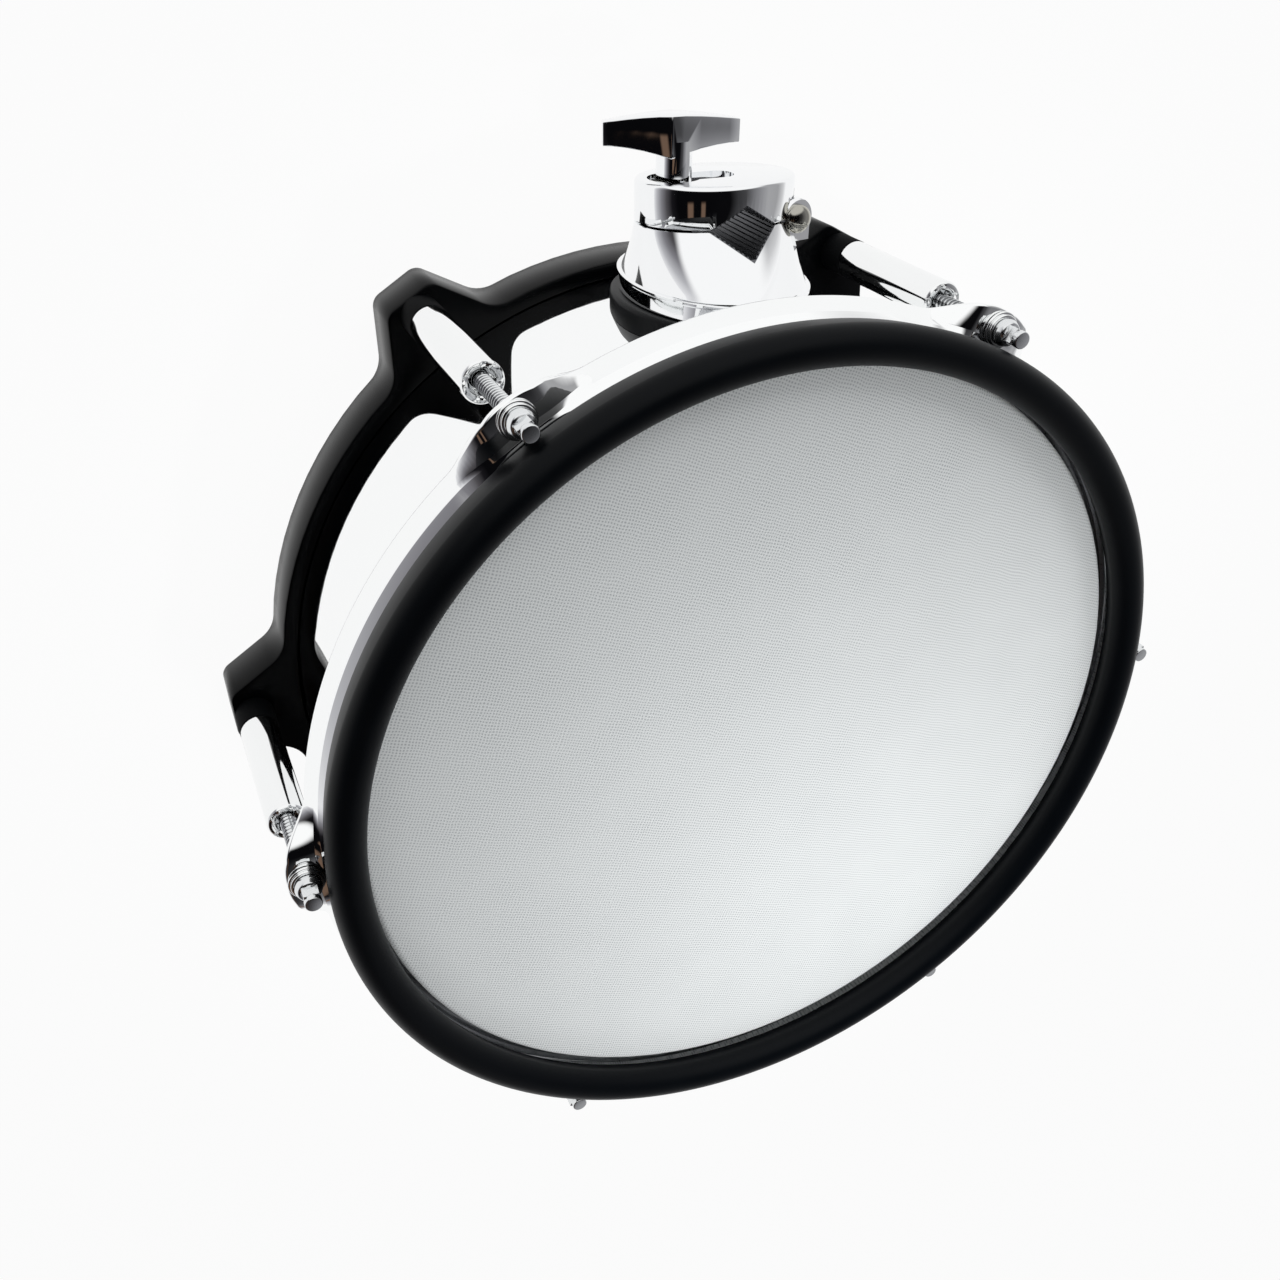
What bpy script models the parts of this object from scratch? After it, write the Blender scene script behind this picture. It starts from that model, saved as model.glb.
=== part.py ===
"""Twelve-inch electronic snare drum pad with a chromed shell, six tension lugs and a rod clamp.

Units are metres, +Z is the drum's axis with the head on top, and the origin is the middle of
the underside. The rod clamp is near +Y. Every piece is its own object.
"""

import math

import bmesh
import bpy
from mathutils import Matrix, Vector

MM = 0.001
GAP = 0.3 * MM
RUN = 0.3 * MM

# Shell, the size that the ring, hoop, head and lugs follow
SHELL_RADIUS = 148.0 * MM
SHELL_WALL = 1.6 * MM
SHELL_HEIGHT = 120.1 * MM
BEARING_ROLL = 1.5 * MM
BEARING_RISE = 3.0 * MM
BEARING_WIDTH = 2.0 * MM

# Lugs
LUG_COUNT = 6
LUG_STANDOFF = 18.8 * MM
ROUND_STEPS = 60

# Base ring, a black moulding that carries the shell and the six lug tubes
BASE_WALL = 5.4 * MM
BASE_HEIGHT = 22.4 * MM
BASE_FLOOR = 9.0 * MM
BASE_FLANGE_WIDTH = 16.0 * MM
EAR_REACH = 7.5 * MM
EAR_TIP_HALF_WIDTH = 9.6 * MM
EAR_ROOT_HALF_WIDTH = 23.0 * MM
EAR_CORNER = 5.0 * MM
BOSS_HEIGHT = 12.6 * MM
BOSS_LEDGE = 0.1 * MM

# Bottom cover, set flush into the base ring
COVER_LAP = 9.7 * MM
COVER_THICKNESS = 2.5 * MM
COVER_SCREW_COUNT = 4
COVER_SCREW_RADIUS = 1.5 * MM
COVER_SCREW_HEAD_RADIUS = 3.0 * MM
COVER_SCREW_HEAD_HEIGHT = 1.4 * MM
COVER_SCREW_LENGTH = 7.0 * MM

# Head: a woven mesh in an aluminium flesh hoop
MESH_THICKNESS = 0.4 * MM
FLESH_HOOP_WIDTH = 7.6 * MM
FLESH_HOOP_HEIGHT = 8.7 * MM
FLESH_HOOP_DROP = 6.3 * MM

# Counterhoop, pressed steel: lip, skirt, ledge and upper wall
HOOP_GAUGE = 2.3 * MM
HOOP_HEAD_ROOM = 4.7 * MM
HOOP_SKIRT_ROOM = 0.85 * MM
HOOP_LIP_FLARE = 3.9 * MM
HOOP_SKIRT_DROP = 10.0 * MM
HOOP_WALL_HEIGHT = 13.1 * MM
HOOP_EAR_REACH = 6.4 * MM
HOOP_EAR_HALF_WIDTH = 8.5 * MM
HOOP_EAR_BLEND = 18.0 * MM
HOOP_EAR_RISE = 0.8 * MM
HOOP_EAR_HOLE_RADIUS = 3.3 * MM

# Rubber rim that clips over the hoop's upper wall
RIM_BEAD_RADIUS = 6.7 * MM
RIM_BEAD_RISE = 10.0 * MM
RIM_FOOT_HALF_WIDTH = 4.7 * MM
RIM_SLOT_GAP = 0.5 * MM

# Lug tubes, tension rods and their washers
TUBE_RADIUS = 7.2 * MM
TUBE_TOP = 93.0 * MM
TUBE_MOUTH_RADIUS = 4.3 * MM
TUBE_MOUTH_DEPTH = 5.0 * MM
TUBE_THREAD_DEPTH = 36.0 * MM
LUG_SCREW_RADIUS = 2.0 * MM
LUG_SCREW_HEAD_RADIUS = 4.2 * MM
LUG_SCREW_HEAD_HEIGHT = 3.2 * MM
LUG_SCREW_SINK = 5.0 * MM
LUG_SCREW_BITE = 10.0 * MM
ROD_RADIUS = 2.75 * MM
ROD_ENGAGEMENT = 26.0 * MM
ROD_COLLAR_RADIUS = 4.6 * MM
ROD_COLLAR_CROWN_RADIUS = 3.7 * MM
ROD_COLLAR_HEIGHT = 3.2 * MM
ROD_KEY_SIDE = 5.4 * MM
ROD_KEY_HEIGHT = 4.6 * MM
ROD_END_RADIUS = 2.9 * MM
ROD_END_HEIGHT = 1.7 * MM
WASHER_RADIUS = 6.2 * MM
WASHER_STEP_RADIUS = 5.5 * MM
WASHER_THICKNESS = 1.1 * MM

# Rod clamp on the shell: rubber saddle, chromed base, hinged cap and wing screw
CLAMP_ANGLE = math.radians(87.8)
SADDLE_MARGIN = 3.1 * MM
SADDLE_HALF_WIDTH = 32.6 * MM
SADDLE_THICKNESS = 4.0 * MM
SADDLE_EDGE = 1.2 * MM
PLINTH_END_SETBACK = 2.7 * MM
PLINTH_HALF_WIDTH = 29.3 * MM
PLINTH_HEIGHT = 5.4 * MM
LIP_OVERHANG = 1.3 * MM
LIP_HEIGHT = 1.3 * MM
CAP_HALF_LENGTH = 27.5 * MM
CAP_HALF_WIDTH = 19.2 * MM
CAP_HEIGHT = 13.0 * MM
CAP_EDGE = 1.0 * MM
CLAMP_BASE_HEIGHT = 24.7 * MM
JAW_GAP = 0.6 * MM
GROOVE_X = 1.8 * MM
GROOVE_HALF_WIDTH = 12.5 * MM
GROOVE_LOWER_DEPTH = 8.5 * MM
GROOVE_UPPER_DEPTH = 7.0 * MM
GROOVE_LAND_HALF_WIDTH = 1.2 * MM
HINGE_X = 24.3 * MM
HINGE_PIN_RADIUS = 2.5 * MM
HINGE_BOSS_RADIUS = 6.3 * MM
HINGE_KNUCKLE_HALF = 6.0 * MM
HINGE_CHEEK = 6.5 * MM
CHEEK_STEPS = 9
HINGE_DOME_RADIUS = 4.3 * MM
HINGE_DOME_HEIGHT = 2.2 * MM
WING_X = -15.0 * MM
WING_STUD_RADIUS = 3.0 * MM
WING_STUD_BITE = 15.0 * MM
WING_SLEEVE_RADIUS = 5.35 * MM
WING_RISE = 6.6 * MM
WING_HALF_SPAN = 21.3 * MM
WING_TIP_HEIGHT = 7.0 * MM
WING_HEIGHT = 12.8 * MM
WING_TIP_HALF_DEPTH = 2.2 * MM
WING_HALF_DEPTH = 6.0 * MM
WING_TURN = math.radians(-16.0)
WING_WASHER_RADIUS = 6.0 * MM
WING_WASHER_THICKNESS = 1.0 * MM
CAP_RECESS_RADIUS = 7.4 * MM
CAP_RECESS_DEPTH = 4.0 * MM
CAP_SLOT_TRAVEL = 2.6 * MM
CLAMP_BOLT_SPACING = 44.0 * MM
CLAMP_BOLT_RADIUS = 2.5 * MM
CLAMP_BOLT_HEAD_RADIUS = 4.6 * MM
CLAMP_BOLT_HEAD_HEIGHT = 3.2 * MM
CLAMP_BOLT_BITE = 8.0 * MM
BACKING_THICKNESS = 2.0 * MM
BACKING_HALF_ANGLE = math.radians(8.0)
BACKING_HALF_LENGTH = 34.0 * MM

# Sensors on a steel bridge across the inside
BRIDGE_TOP = 82.0 * MM
BRIDGE_GAUGE = 2.0 * MM
BRIDGE_WIDTH = 36.0 * MM
BRIDGE_LEG_SETBACK = 1.0 * MM
BRIDGE_FOOT = 12.0 * MM
BRIDGE_SCREW_RADIUS = 2.0 * MM
BRIDGE_SCREW_HEAD_RADIUS = 3.9 * MM
BRIDGE_SCREW_HEAD_HEIGHT = 2.6 * MM
BRIDGE_SCREW_BITE = 4.6 * MM
PAD_RADIUS = 17.0 * MM
PAD_HEIGHT = 4.0 * MM
PIEZO_RADIUS = 17.5 * MM
PIEZO_THICKNESS = 0.7 * MM
CONE_BASE_RADIUS = 16.5 * MM
CONE_TOP_RADIUS = 8.0 * MM
RIM_PIEZO_RADIUS = 13.5 * MM
RIM_PIEZO_THICKNESS = 1.6 * MM
RIM_PIEZO_X = 70.0 * MM

# Output jack in the base ring's wall, opposite the clamp
JACK_ANGLE = math.radians(-90.0)
JACK_HEIGHT = 15.9 * MM
JACK_SIDE = 12.6 * MM
JACK_LENGTH = 24.0 * MM
JACK_BUSH_RADIUS = 4.7 * MM
JACK_BORE_RADIUS = 3.3 * MM
JACK_BORE_DEPTH = 30.0 * MM
JACK_NUT_RADIUS = 7.4 * MM
JACK_NUT_THICKNESS = 2.4 * MM
JACK_BUSH_PROUD = 1.2 * MM
LEAD_RADIUS = 0.9 * MM
LEAD_BEND = 5.5 * MM

# Heights and radii that follow from the sizes above
ROD_CIRCLE_RADIUS = SHELL_RADIUS + LUG_STANDOFF
BASE_RADIUS = SHELL_RADIUS + GAP + BASE_WALL
BASE_INNER_RADIUS = SHELL_RADIUS - BASE_FLANGE_WIDTH
COVER_RADIUS = BASE_INNER_RADIUS + COVER_LAP
BRIDGE_LEG_X = BASE_INNER_RADIUS - BRIDGE_LEG_SETBACK
SHELL_FOOT = BASE_FLOOR + GAP
SHELL_TOP = SHELL_FOOT + SHELL_HEIGHT
SHELL_INNER = SHELL_RADIUS - SHELL_WALL
SHELL_INSIDE = SHELL_INNER * math.cos(math.pi / ROUND_STEPS)
HEAD_TOP = SHELL_TOP + GAP + MESH_THICKNESS
FLESH_TOP = SHELL_TOP - FLESH_HOOP_DROP
FLESH_INNER = SHELL_RADIUS + 3.5 * GAP
LEDGE_UNDER = FLESH_TOP + GAP
HOOP_LEDGE_INNER = SHELL_RADIUS + HOOP_HEAD_ROOM
HOOP_SKIRT_RADIUS = FLESH_INNER + FLESH_HOOP_WIDTH + HOOP_SKIRT_ROOM + HOOP_GAUGE
HOOP_LIP_RADIUS = HOOP_SKIRT_RADIUS + HOOP_LIP_FLARE
LEDGE_TOP = LEDGE_UNDER + HOOP_GAUGE
HOOP_BOTTOM = LEDGE_UNDER - HOOP_SKIRT_DROP
HOOP_TOP = LEDGE_TOP + HOOP_WALL_HEIGHT
HOOP_WALL_OUTER = HOOP_LEDGE_INNER + HOOP_GAUGE
EAR_TOP = LEDGE_UNDER + HOOP_EAR_RISE
EAR_UNDER = EAR_TOP - HOOP_GAUGE
RIM_FOOT = LEDGE_TOP + GAP
RIM_BEAD_CENTRE_RADIUS = HOOP_WALL_OUTER
WASHER_BOTTOM = EAR_TOP + GAP
WASHER_TOP = WASHER_BOTTOM + 2.0 * WASHER_THICKNESS
COLLAR_BOTTOM = WASHER_TOP + GAP
KEY_BOTTOM = COLLAR_BOTTOM + ROD_COLLAR_HEIGHT
ROD_TOP = KEY_BOTTOM + ROD_KEY_HEIGHT + ROD_END_HEIGHT
ROD_BOTTOM = TUBE_TOP - TUBE_MOUTH_DEPTH - ROD_ENGAGEMENT
BOSS_TOP = BASE_HEIGHT + BOSS_HEIGHT
BOSS_RADIUS = TUBE_RADIUS + BOSS_LEDGE
TUBE_BOTTOM = BOSS_TOP + GAP
BASE_EAR_RADIUS = ROD_CIRCLE_RADIUS + EAR_REACH
COVER_RECESS = COVER_THICKNESS + GAP
COVER_SCREW_CIRCLE = (COVER_RADIUS + BASE_INNER_RADIUS) / 2.0

# The clamp stands in the middle of the band between the ring and the hoop. Its own heights are
# measured outwards from the shell's surface.
CLAMP_HEIGHT = (HOOP_BOTTOM + BASE_HEIGHT) / 2.0
SADDLE_HALF_LENGTH = (HOOP_BOTTOM - BASE_HEIGHT) / 2.0 - SADDLE_MARGIN
PLINTH_HALF_LENGTH = SADDLE_HALF_LENGTH - PLINTH_END_SETBACK
SADDLE_TOP = GAP + SADDLE_THICKNESS
CLAMP_FOOT = SADDLE_TOP + GAP
PARTING = CLAMP_FOOT + CLAMP_BASE_HEIGHT
CAP_BOTTOM = PARTING + JAW_GAP
CAP_TOP = CAP_BOTTOM + CAP_HEIGHT
HINGE_Y = PARTING + JAW_GAP / 2.0
RECESS_FLOOR = CAP_TOP - CAP_RECESS_DEPTH
SLEEVE_BOTTOM = RECESS_FLOOR + GAP + WING_WASHER_THICKNESS + GAP
WING_BOTTOM = CAP_TOP + WING_RISE

COLLECTION_NAME = "electronic_snare_drum"
CUTTERS_NAME = "cutters"


def clear_scene():
    """Empty the open file."""
    for item in list(bpy.data.objects):
        bpy.data.objects.remove(item, do_unlink=True)


def make_collection(name):
    """A new collection under the scene's own."""
    collection = bpy.data.collections.new(name)
    bpy.context.scene.collection.children.link(collection)
    return collection


clear_scene()
PARTS = make_collection(COLLECTION_NAME)
CUTTERS = make_collection(CUTTERS_NAME)


# Finishes

def finish(name, colour, roughness, metallic=0.0):
    """A plain Principled material."""
    material = bpy.data.materials.new(name)
    material.use_nodes = True
    shader = material.node_tree.nodes["Principled BSDF"]
    shader.inputs["Base Color"].default_value = (*colour, 1.0)
    shader.inputs["Roughness"].default_value = roughness
    shader.inputs["Metallic"].default_value = metallic
    material.diffuse_color = (*colour, 1.0)
    return material


FINISHES = {
    "chrome": ((0.86, 0.87, 0.88), 0.06, 1.0),
    "black_moulding": ((0.012, 0.012, 0.014), 0.28, 0.0),
    "black_rubber": ((0.014, 0.015, 0.017), 0.62, 0.0),
    "woven_mesh": ((0.72, 0.73, 0.75), 0.7, 0.0),
    "aluminium": ((0.62, 0.63, 0.65), 0.35, 1.0),
    "plated_steel": ((0.6, 0.6, 0.58), 0.4, 1.0),
    "zinc_screw": ((0.5, 0.5, 0.5), 0.35, 1.0),
    "grey_foam": ((0.09, 0.09, 0.1), 0.95, 0.0),
    "brass": ((0.72, 0.5, 0.2), 0.35, 1.0),
    "jack_plastic": ((0.02, 0.02, 0.02), 0.4, 0.0),
    "lead_sheath": ((0.25, 0.02, 0.02), 0.5, 0.0),
}


# Building blocks

def new_object(name, mesh, collection, material=None):
    """Link a mesh as an object, as a part or as a cutter."""
    item = bpy.data.objects.new(name, mesh)
    collection.objects.link(item)
    if collection is CUTTERS:
        item.hide_render = True
        item.display_type = "WIRE"
    if material:
        mesh.materials.clear()
        mesh.materials.append(finish(name + "_" + material, *FINISHES[material]))
    return item


def mesh_from(bm, name):
    """Turn a bmesh into a mesh and free it."""
    bmesh.ops.recalc_face_normals(bm, faces=bm.faces)
    mesh = bpy.data.meshes.new(name)
    bm.to_mesh(mesh)
    bm.free()
    return mesh


def turned(name, profile, steps, collection=None, material=None, ring=False):
    """A turned solid about Z. The profile lists (radius, height) down its outer side."""
    mesh = bpy.data.meshes.new(name)
    count = len(profile)
    edges = [(i, i + 1) for i in range(count - 1)]
    if ring:
        edges.append((count - 1, 0))
    mesh.from_pydata([(r, 0.0, z) for r, z in profile], edges, [])
    item = new_object(name, mesh, collection or PARTS, material)
    screw = item.modifiers.new("turn", "SCREW")
    screw.axis = "Z"
    screw.angle = 2.0 * math.pi
    screw.steps = steps
    screw.render_steps = steps
    screw.use_merge_vertices = True
    screw.merge_threshold = 0.00001
    screw.use_smooth_shade = True
    return item


def cylinder(name, radius, low, high, steps, collection=None, material=None, top_radius=None):
    """A cylinder or cone along Z between two heights."""
    bm = bmesh.new()
    bmesh.ops.create_cone(
        bm, cap_ends=True, segments=steps, radius1=radius,
        radius2=radius if top_radius is None else top_radius, depth=high - low,
        matrix=Matrix.Translation((0.0, 0.0, (low + high) / 2.0)))
    return new_object(name, mesh_from(bm, name), collection or PARTS, material)


def box(name, low, high, collection=None, material=None):
    """A box between two corners."""
    low, high = Vector(low), Vector(high)
    bm = bmesh.new()
    size = high - low
    place = Matrix.Translation((low + high) / 2.0) @ Matrix.Diagonal((*size, 1.0))
    bmesh.ops.create_cube(bm, size=1.0, matrix=place)
    return new_object(name, mesh_from(bm, name), collection or PARTS, material)


def prism(name, outline, low, high, collection=None, material=None):
    """An outline in XY raised from one height to another."""
    bm = bmesh.new()
    face = bm.faces.new([bm.verts.new((x, y, low)) for x, y in outline])
    raised = bmesh.ops.extrude_face_region(bm, geom=[face])
    verts = [v for v in raised["geom"] if isinstance(v, bmesh.types.BMVert)]
    bmesh.ops.translate(bm, verts=verts, vec=(0.0, 0.0, high - low))
    return new_object(name, mesh_from(bm, name), collection or PARTS, material)


def boolean(item, tool, operation="DIFFERENCE"):
    """Cut or join one object with another, with the exact solver."""
    modifier = item.modifiers.new(operation.lower(), "BOOLEAN")
    modifier.operation = operation
    modifier.solver = "EXACT"
    modifier.object = tool


def shade(item):
    """Smooth shading with sharp edges kept."""
    item.data.shade_smooth()
    item.data.set_sharp_from_angle(angle=math.radians(35.0))


def settled(item, name, collection=None, material=None):
    """A plain mesh object of what the modifiers make; the source becomes a cutter's ghost."""
    bpy.context.view_layer.update()
    graph = bpy.context.evaluated_depsgraph_get()
    mesh = bpy.data.meshes.new_from_object(item.evaluated_get(graph))
    mesh.transform(item.matrix_world)
    mesh.name = name
    bpy.data.objects.remove(item, do_unlink=True)
    return new_object(name, mesh, collection or PARTS, material)


def lug_angles():
    """The angle of each lug about the drum's axis."""
    return [2.0 * math.pi * i / LUG_COUNT for i in range(LUG_COUNT)]


def at_lug(angle, radius=ROD_CIRCLE_RADIUS, height=0.0):
    """Where a lug's axis stands."""
    return Vector((radius * math.cos(angle), radius * math.sin(angle), height))


def repeat_at_lugs(mesh, stem, material, collection=None):
    """One object per lug that shares a mesh made on the Z axis."""
    made = []
    for number, angle in enumerate(lug_angles(), start=1):
        item = new_object(f"{stem}_{number}", mesh, collection or PARTS)
        item.location = at_lug(angle)
        item.rotation_euler = (0.0, 0.0, angle)
        made.append(item)
    mesh.materials.clear()
    mesh.materials.append(finish(stem + "_" + material, *FINISHES[material]))
    return made


# Along +Y from +Z, for pieces turned about the radial direction
RADIAL = Matrix.Rotation(-math.pi / 2.0, 4, "X")


# Base ring

def corner_arc(before, corner, after, radius, steps):
    """Points of a round corner between two straight runs."""
    to_before = (before - corner).normalized()
    to_after = (after - corner).normalized()
    half = to_before.angle(to_after) / 2.0
    reach = radius / math.tan(half)
    start = corner + to_before * reach
    end = corner + to_after * reach
    centre = corner + (to_before + to_after).normalized() * (radius / math.sin(half))
    points = []
    for i in range(steps + 1):
        share = i / steps
        spoke = (start - centre).lerp(end - centre, share).normalized() * radius
        points.append(centre + spoke)
    return points


def base_outline():
    """The ring's plan: a circle with one trapezoid ear for each lug."""
    root_height = math.sqrt(BASE_RADIUS ** 2 - EAR_ROOT_HALF_WIDTH ** 2)
    root = Vector((root_height, EAR_ROOT_HALF_WIDTH))
    tip = Vector((BASE_EAR_RADIUS, EAR_TIP_HALF_WIDTH))
    mirrored_tip = Vector((tip.x, -tip.y))
    mirrored_root = Vector((root.x, -root.y))
    ear = [mirrored_root]
    ear += corner_arc(mirrored_root, mirrored_tip, tip, EAR_CORNER, 3)
    ear += corner_arc(mirrored_tip, tip, root, EAR_CORNER, 3)
    ear += [root]
    half_root = math.asin(EAR_ROOT_HALF_WIDTH / BASE_RADIUS)
    pitch = 2.0 * math.pi / LUG_COUNT
    between = pitch - 2.0 * half_root
    steps = max(3, round(between / (2.0 * math.pi / ROUND_STEPS)))
    points = []
    for angle in lug_angles():
        turn = Matrix.Rotation(angle, 2)
        points += [tuple(turn @ p) for p in ear]
        for i in range(1, steps):
            a = angle + half_root + between * i / steps
            points.append((BASE_RADIUS * math.cos(a), BASE_RADIUS * math.sin(a)))
    return points


def make_base_ring():
    """The black moulding with its ears, bosses, rebates and screw holes."""
    ring = prism("base_ring", base_outline(), 0.0, BASE_HEIGHT, material="black_moulding")
    for angle in lug_angles():
        boss = cylinder("tube_boss", BOSS_RADIUS, BASE_HEIGHT / 2.0, BOSS_TOP, 16, CUTTERS)
        boss.location = at_lug(angle)
        boss.rotation_euler = (0.0, 0.0, angle)
        boolean(ring, boss, "UNION")
    bore = cylinder("base_bore", BASE_INNER_RADIUS, -BASE_HEIGHT, 2.0 * BASE_HEIGHT, ROUND_STEPS, CUTTERS)
    rebate = cylinder("shell_rebate", SHELL_RADIUS + GAP, BASE_FLOOR, 2.0 * BASE_HEIGHT, ROUND_STEPS, CUTTERS)
    cover_seat = cylinder("cover_seat", COVER_RADIUS + GAP, -BASE_HEIGHT, COVER_RECESS, ROUND_STEPS, CUTTERS)
    for tool in (bore, rebate, cover_seat):
        boolean(ring, tool)
    screw_room = LUG_SCREW_RADIUS + GAP
    sink_radius = LUG_SCREW_HEAD_RADIUS + GAP
    for angle in lug_angles():
        hole = cylinder("lug_screw_hole", screw_room, -BASE_HEIGHT, BOSS_TOP + BASE_HEIGHT, 12, CUTTERS)
        sink = cylinder("lug_screw_sink", sink_radius, -BASE_HEIGHT, LUG_SCREW_SINK, 16, CUTTERS)
        for tool in (hole, sink):
            tool.location = at_lug(angle)
            boolean(ring, tool)
    screw_room = COVER_SCREW_RADIUS + GAP
    screw_end = COVER_SCREW_LENGTH + 2.0 * GAP
    for place in cover_screw_places():
        hole = cylinder("cover_screw_hole", screw_room, -BASE_HEIGHT, screw_end, 10, CUTTERS)
        hole.location = place
        boolean(ring, hole)
    pilot = BRIDGE_SCREW_RADIUS + GAP
    pilot_low = BASE_FLOOR - BRIDGE_SCREW_BITE - GAP
    for side in (-1.0, 1.0):
        hole = cylinder("bridge_screw_hole", pilot, pilot_low, 2.0 * BASE_FLOOR, 10, CUTTERS)
        hole.location = (side * bridge_screw_x(), 0.0, 0.0)
        boolean(ring, hole)
    boolean(ring, jack_passage())
    shade(ring)


def cover_screw_places():
    """Where the cover's screws stand, between the lugs and clear of the bridge's feet."""
    turn = math.pi / COVER_SCREW_COUNT
    angles = [turn + 2.0 * math.pi * i / COVER_SCREW_COUNT for i in range(COVER_SCREW_COUNT)]
    return [Vector((COVER_SCREW_CIRCLE * math.cos(a), COVER_SCREW_CIRCLE * math.sin(a), 0.0)) for a in angles]


def make_bottom_cover():
    """A flush disc that closes the underside."""
    cover = cylinder("bottom_cover", COVER_RADIUS, 0.0, COVER_THICKNESS, ROUND_STEPS,
                     material="black_moulding")
    sink_top = COVER_SCREW_HEAD_HEIGHT + 2.0 * GAP
    for number, place in enumerate(cover_screw_places(), start=1):
        hole = cylinder("cover_hole", COVER_SCREW_RADIUS + GAP, -BASE_HEIGHT, BASE_HEIGHT, 10, CUTTERS)
        sink = cylinder("cover_sink", COVER_SCREW_HEAD_RADIUS + GAP, -BASE_HEIGHT, sink_top, 12, CUTTERS)
        for tool in (hole, sink):
            tool.location = place
            boolean(cover, tool)
        screw = turned(f"cover_screw_{number}", [
            (0.0, COVER_SCREW_LENGTH), (COVER_SCREW_RADIUS, COVER_SCREW_LENGTH),
            (COVER_SCREW_RADIUS, GAP + COVER_SCREW_HEAD_HEIGHT),
            (COVER_SCREW_HEAD_RADIUS, GAP + COVER_SCREW_HEAD_HEIGHT),
            (COVER_SCREW_HEAD_RADIUS, GAP), (0.0, GAP)], 10, material="zinc_screw")
        screw.location = place
    shade(cover)


# Lug tubes, their screws, the tension rods and the washers

def make_lugs():
    """Six tubes that stand on the ring's bosses, each held by a screw from below."""
    pilot = LUG_SCREW_RADIUS + GAP
    bite_top = TUBE_BOTTOM + LUG_SCREW_BITE + GAP
    thread_floor = TUBE_TOP - TUBE_MOUTH_DEPTH - TUBE_THREAD_DEPTH
    bore = ROD_RADIUS + RUN
    tube = turned("tube_pattern", [
        (0.0, thread_floor), (bore, thread_floor), (bore, TUBE_TOP - TUBE_MOUTH_DEPTH),
        (TUBE_MOUTH_RADIUS, TUBE_TOP - TUBE_MOUTH_DEPTH), (TUBE_MOUTH_RADIUS, TUBE_TOP),
        (TUBE_RADIUS - GAP, TUBE_TOP), (TUBE_RADIUS, TUBE_TOP - GAP), (TUBE_RADIUS, TUBE_BOTTOM),
        (pilot, TUBE_BOTTOM), (pilot, bite_top), (0.0, bite_top)], 16)
    plain = settled(tube, "lug_tube")
    mesh = plain.data
    bpy.data.objects.remove(plain, do_unlink=True)
    repeat_at_lugs(mesh, "lug_tube", "chrome")

    head_top = LUG_SCREW_SINK - GAP
    head_low = head_top - LUG_SCREW_HEAD_HEIGHT
    screw = turned("screw_pattern", [
        (0.0, TUBE_BOTTOM + LUG_SCREW_BITE), (LUG_SCREW_RADIUS, TUBE_BOTTOM + LUG_SCREW_BITE),
        (LUG_SCREW_RADIUS, head_top), (LUG_SCREW_HEAD_RADIUS, head_top),
        (LUG_SCREW_HEAD_RADIUS, head_low), (0.0, head_low)], 12)
    plain = settled(screw, "lug_screw")
    mesh = plain.data
    bpy.data.objects.remove(plain, do_unlink=True)
    repeat_at_lugs(mesh, "lug_screw", "zinc_screw")


def make_tension_rods():
    """Six rods with a round collar and a square key head, each on a pair of washers."""
    rod = turned("rod_pattern", [
        (0.0, ROD_TOP), (ROD_END_RADIUS - GAP, ROD_TOP), (ROD_END_RADIUS, ROD_TOP - GAP),
        (ROD_END_RADIUS, KEY_BOTTOM),
        (ROD_COLLAR_CROWN_RADIUS, KEY_BOTTOM), (ROD_COLLAR_RADIUS, COLLAR_BOTTOM + ROD_COLLAR_HEIGHT * 0.4),
        (ROD_COLLAR_RADIUS, COLLAR_BOTTOM), (ROD_RADIUS, COLLAR_BOTTOM),
        (ROD_RADIUS, ROD_BOTTOM + GAP), (ROD_RADIUS - GAP, ROD_BOTTOM), (0.0, ROD_BOTTOM)], 12)
    half = ROD_KEY_SIDE / 2.0
    key_top = KEY_BOTTOM + ROD_KEY_HEIGHT
    key = box("key_square", (-half, -half, KEY_BOTTOM - GAP), (half, half, key_top), CUTTERS)
    boolean(rod, key, "UNION")
    plain = settled(rod, "tension_rod")
    mesh = plain.data
    bpy.data.objects.remove(plain, do_unlink=True)
    repeat_at_lugs(mesh, "tension_rod", "chrome")

    hole = ROD_RADIUS + RUN
    middle = WASHER_BOTTOM + WASHER_THICKNESS
    washer = turned("washer_pattern", [
        (WASHER_STEP_RADIUS, WASHER_TOP), (WASHER_STEP_RADIUS, middle), (WASHER_RADIUS, middle),
        (WASHER_RADIUS, WASHER_BOTTOM), (hole, WASHER_BOTTOM), (hole, WASHER_TOP)], 12, ring=True)
    plain = settled(washer, "rod_washer")
    mesh = plain.data
    bpy.data.objects.remove(plain, do_unlink=True)
    repeat_at_lugs(mesh, "rod_washer", "chrome")


# Shell and head

def make_shell():
    """The chromed shell with a rolled bearing edge."""
    rim = SHELL_RADIUS - BEARING_ROLL
    shell = turned("shell", [
        (rim, SHELL_TOP), (SHELL_RADIUS, SHELL_TOP - BEARING_RISE), (SHELL_RADIUS, SHELL_FOOT),
        (SHELL_INNER, SHELL_FOOT), (SHELL_INNER, SHELL_TOP - BEARING_RISE),
        (rim - BEARING_WIDTH, SHELL_TOP - SHELL_WALL), (rim - BEARING_WIDTH, SHELL_TOP)],
        ROUND_STEPS, material="chrome", ring=True)
    boolean(shell, jack_passage())
    for tool in clamp_bolt_holes(-4.0 * SHELL_WALL, SHELL_WALL):
        tool.matrix_world = clamp_matrix(tool.matrix_world)
        boolean(shell, tool)


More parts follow.
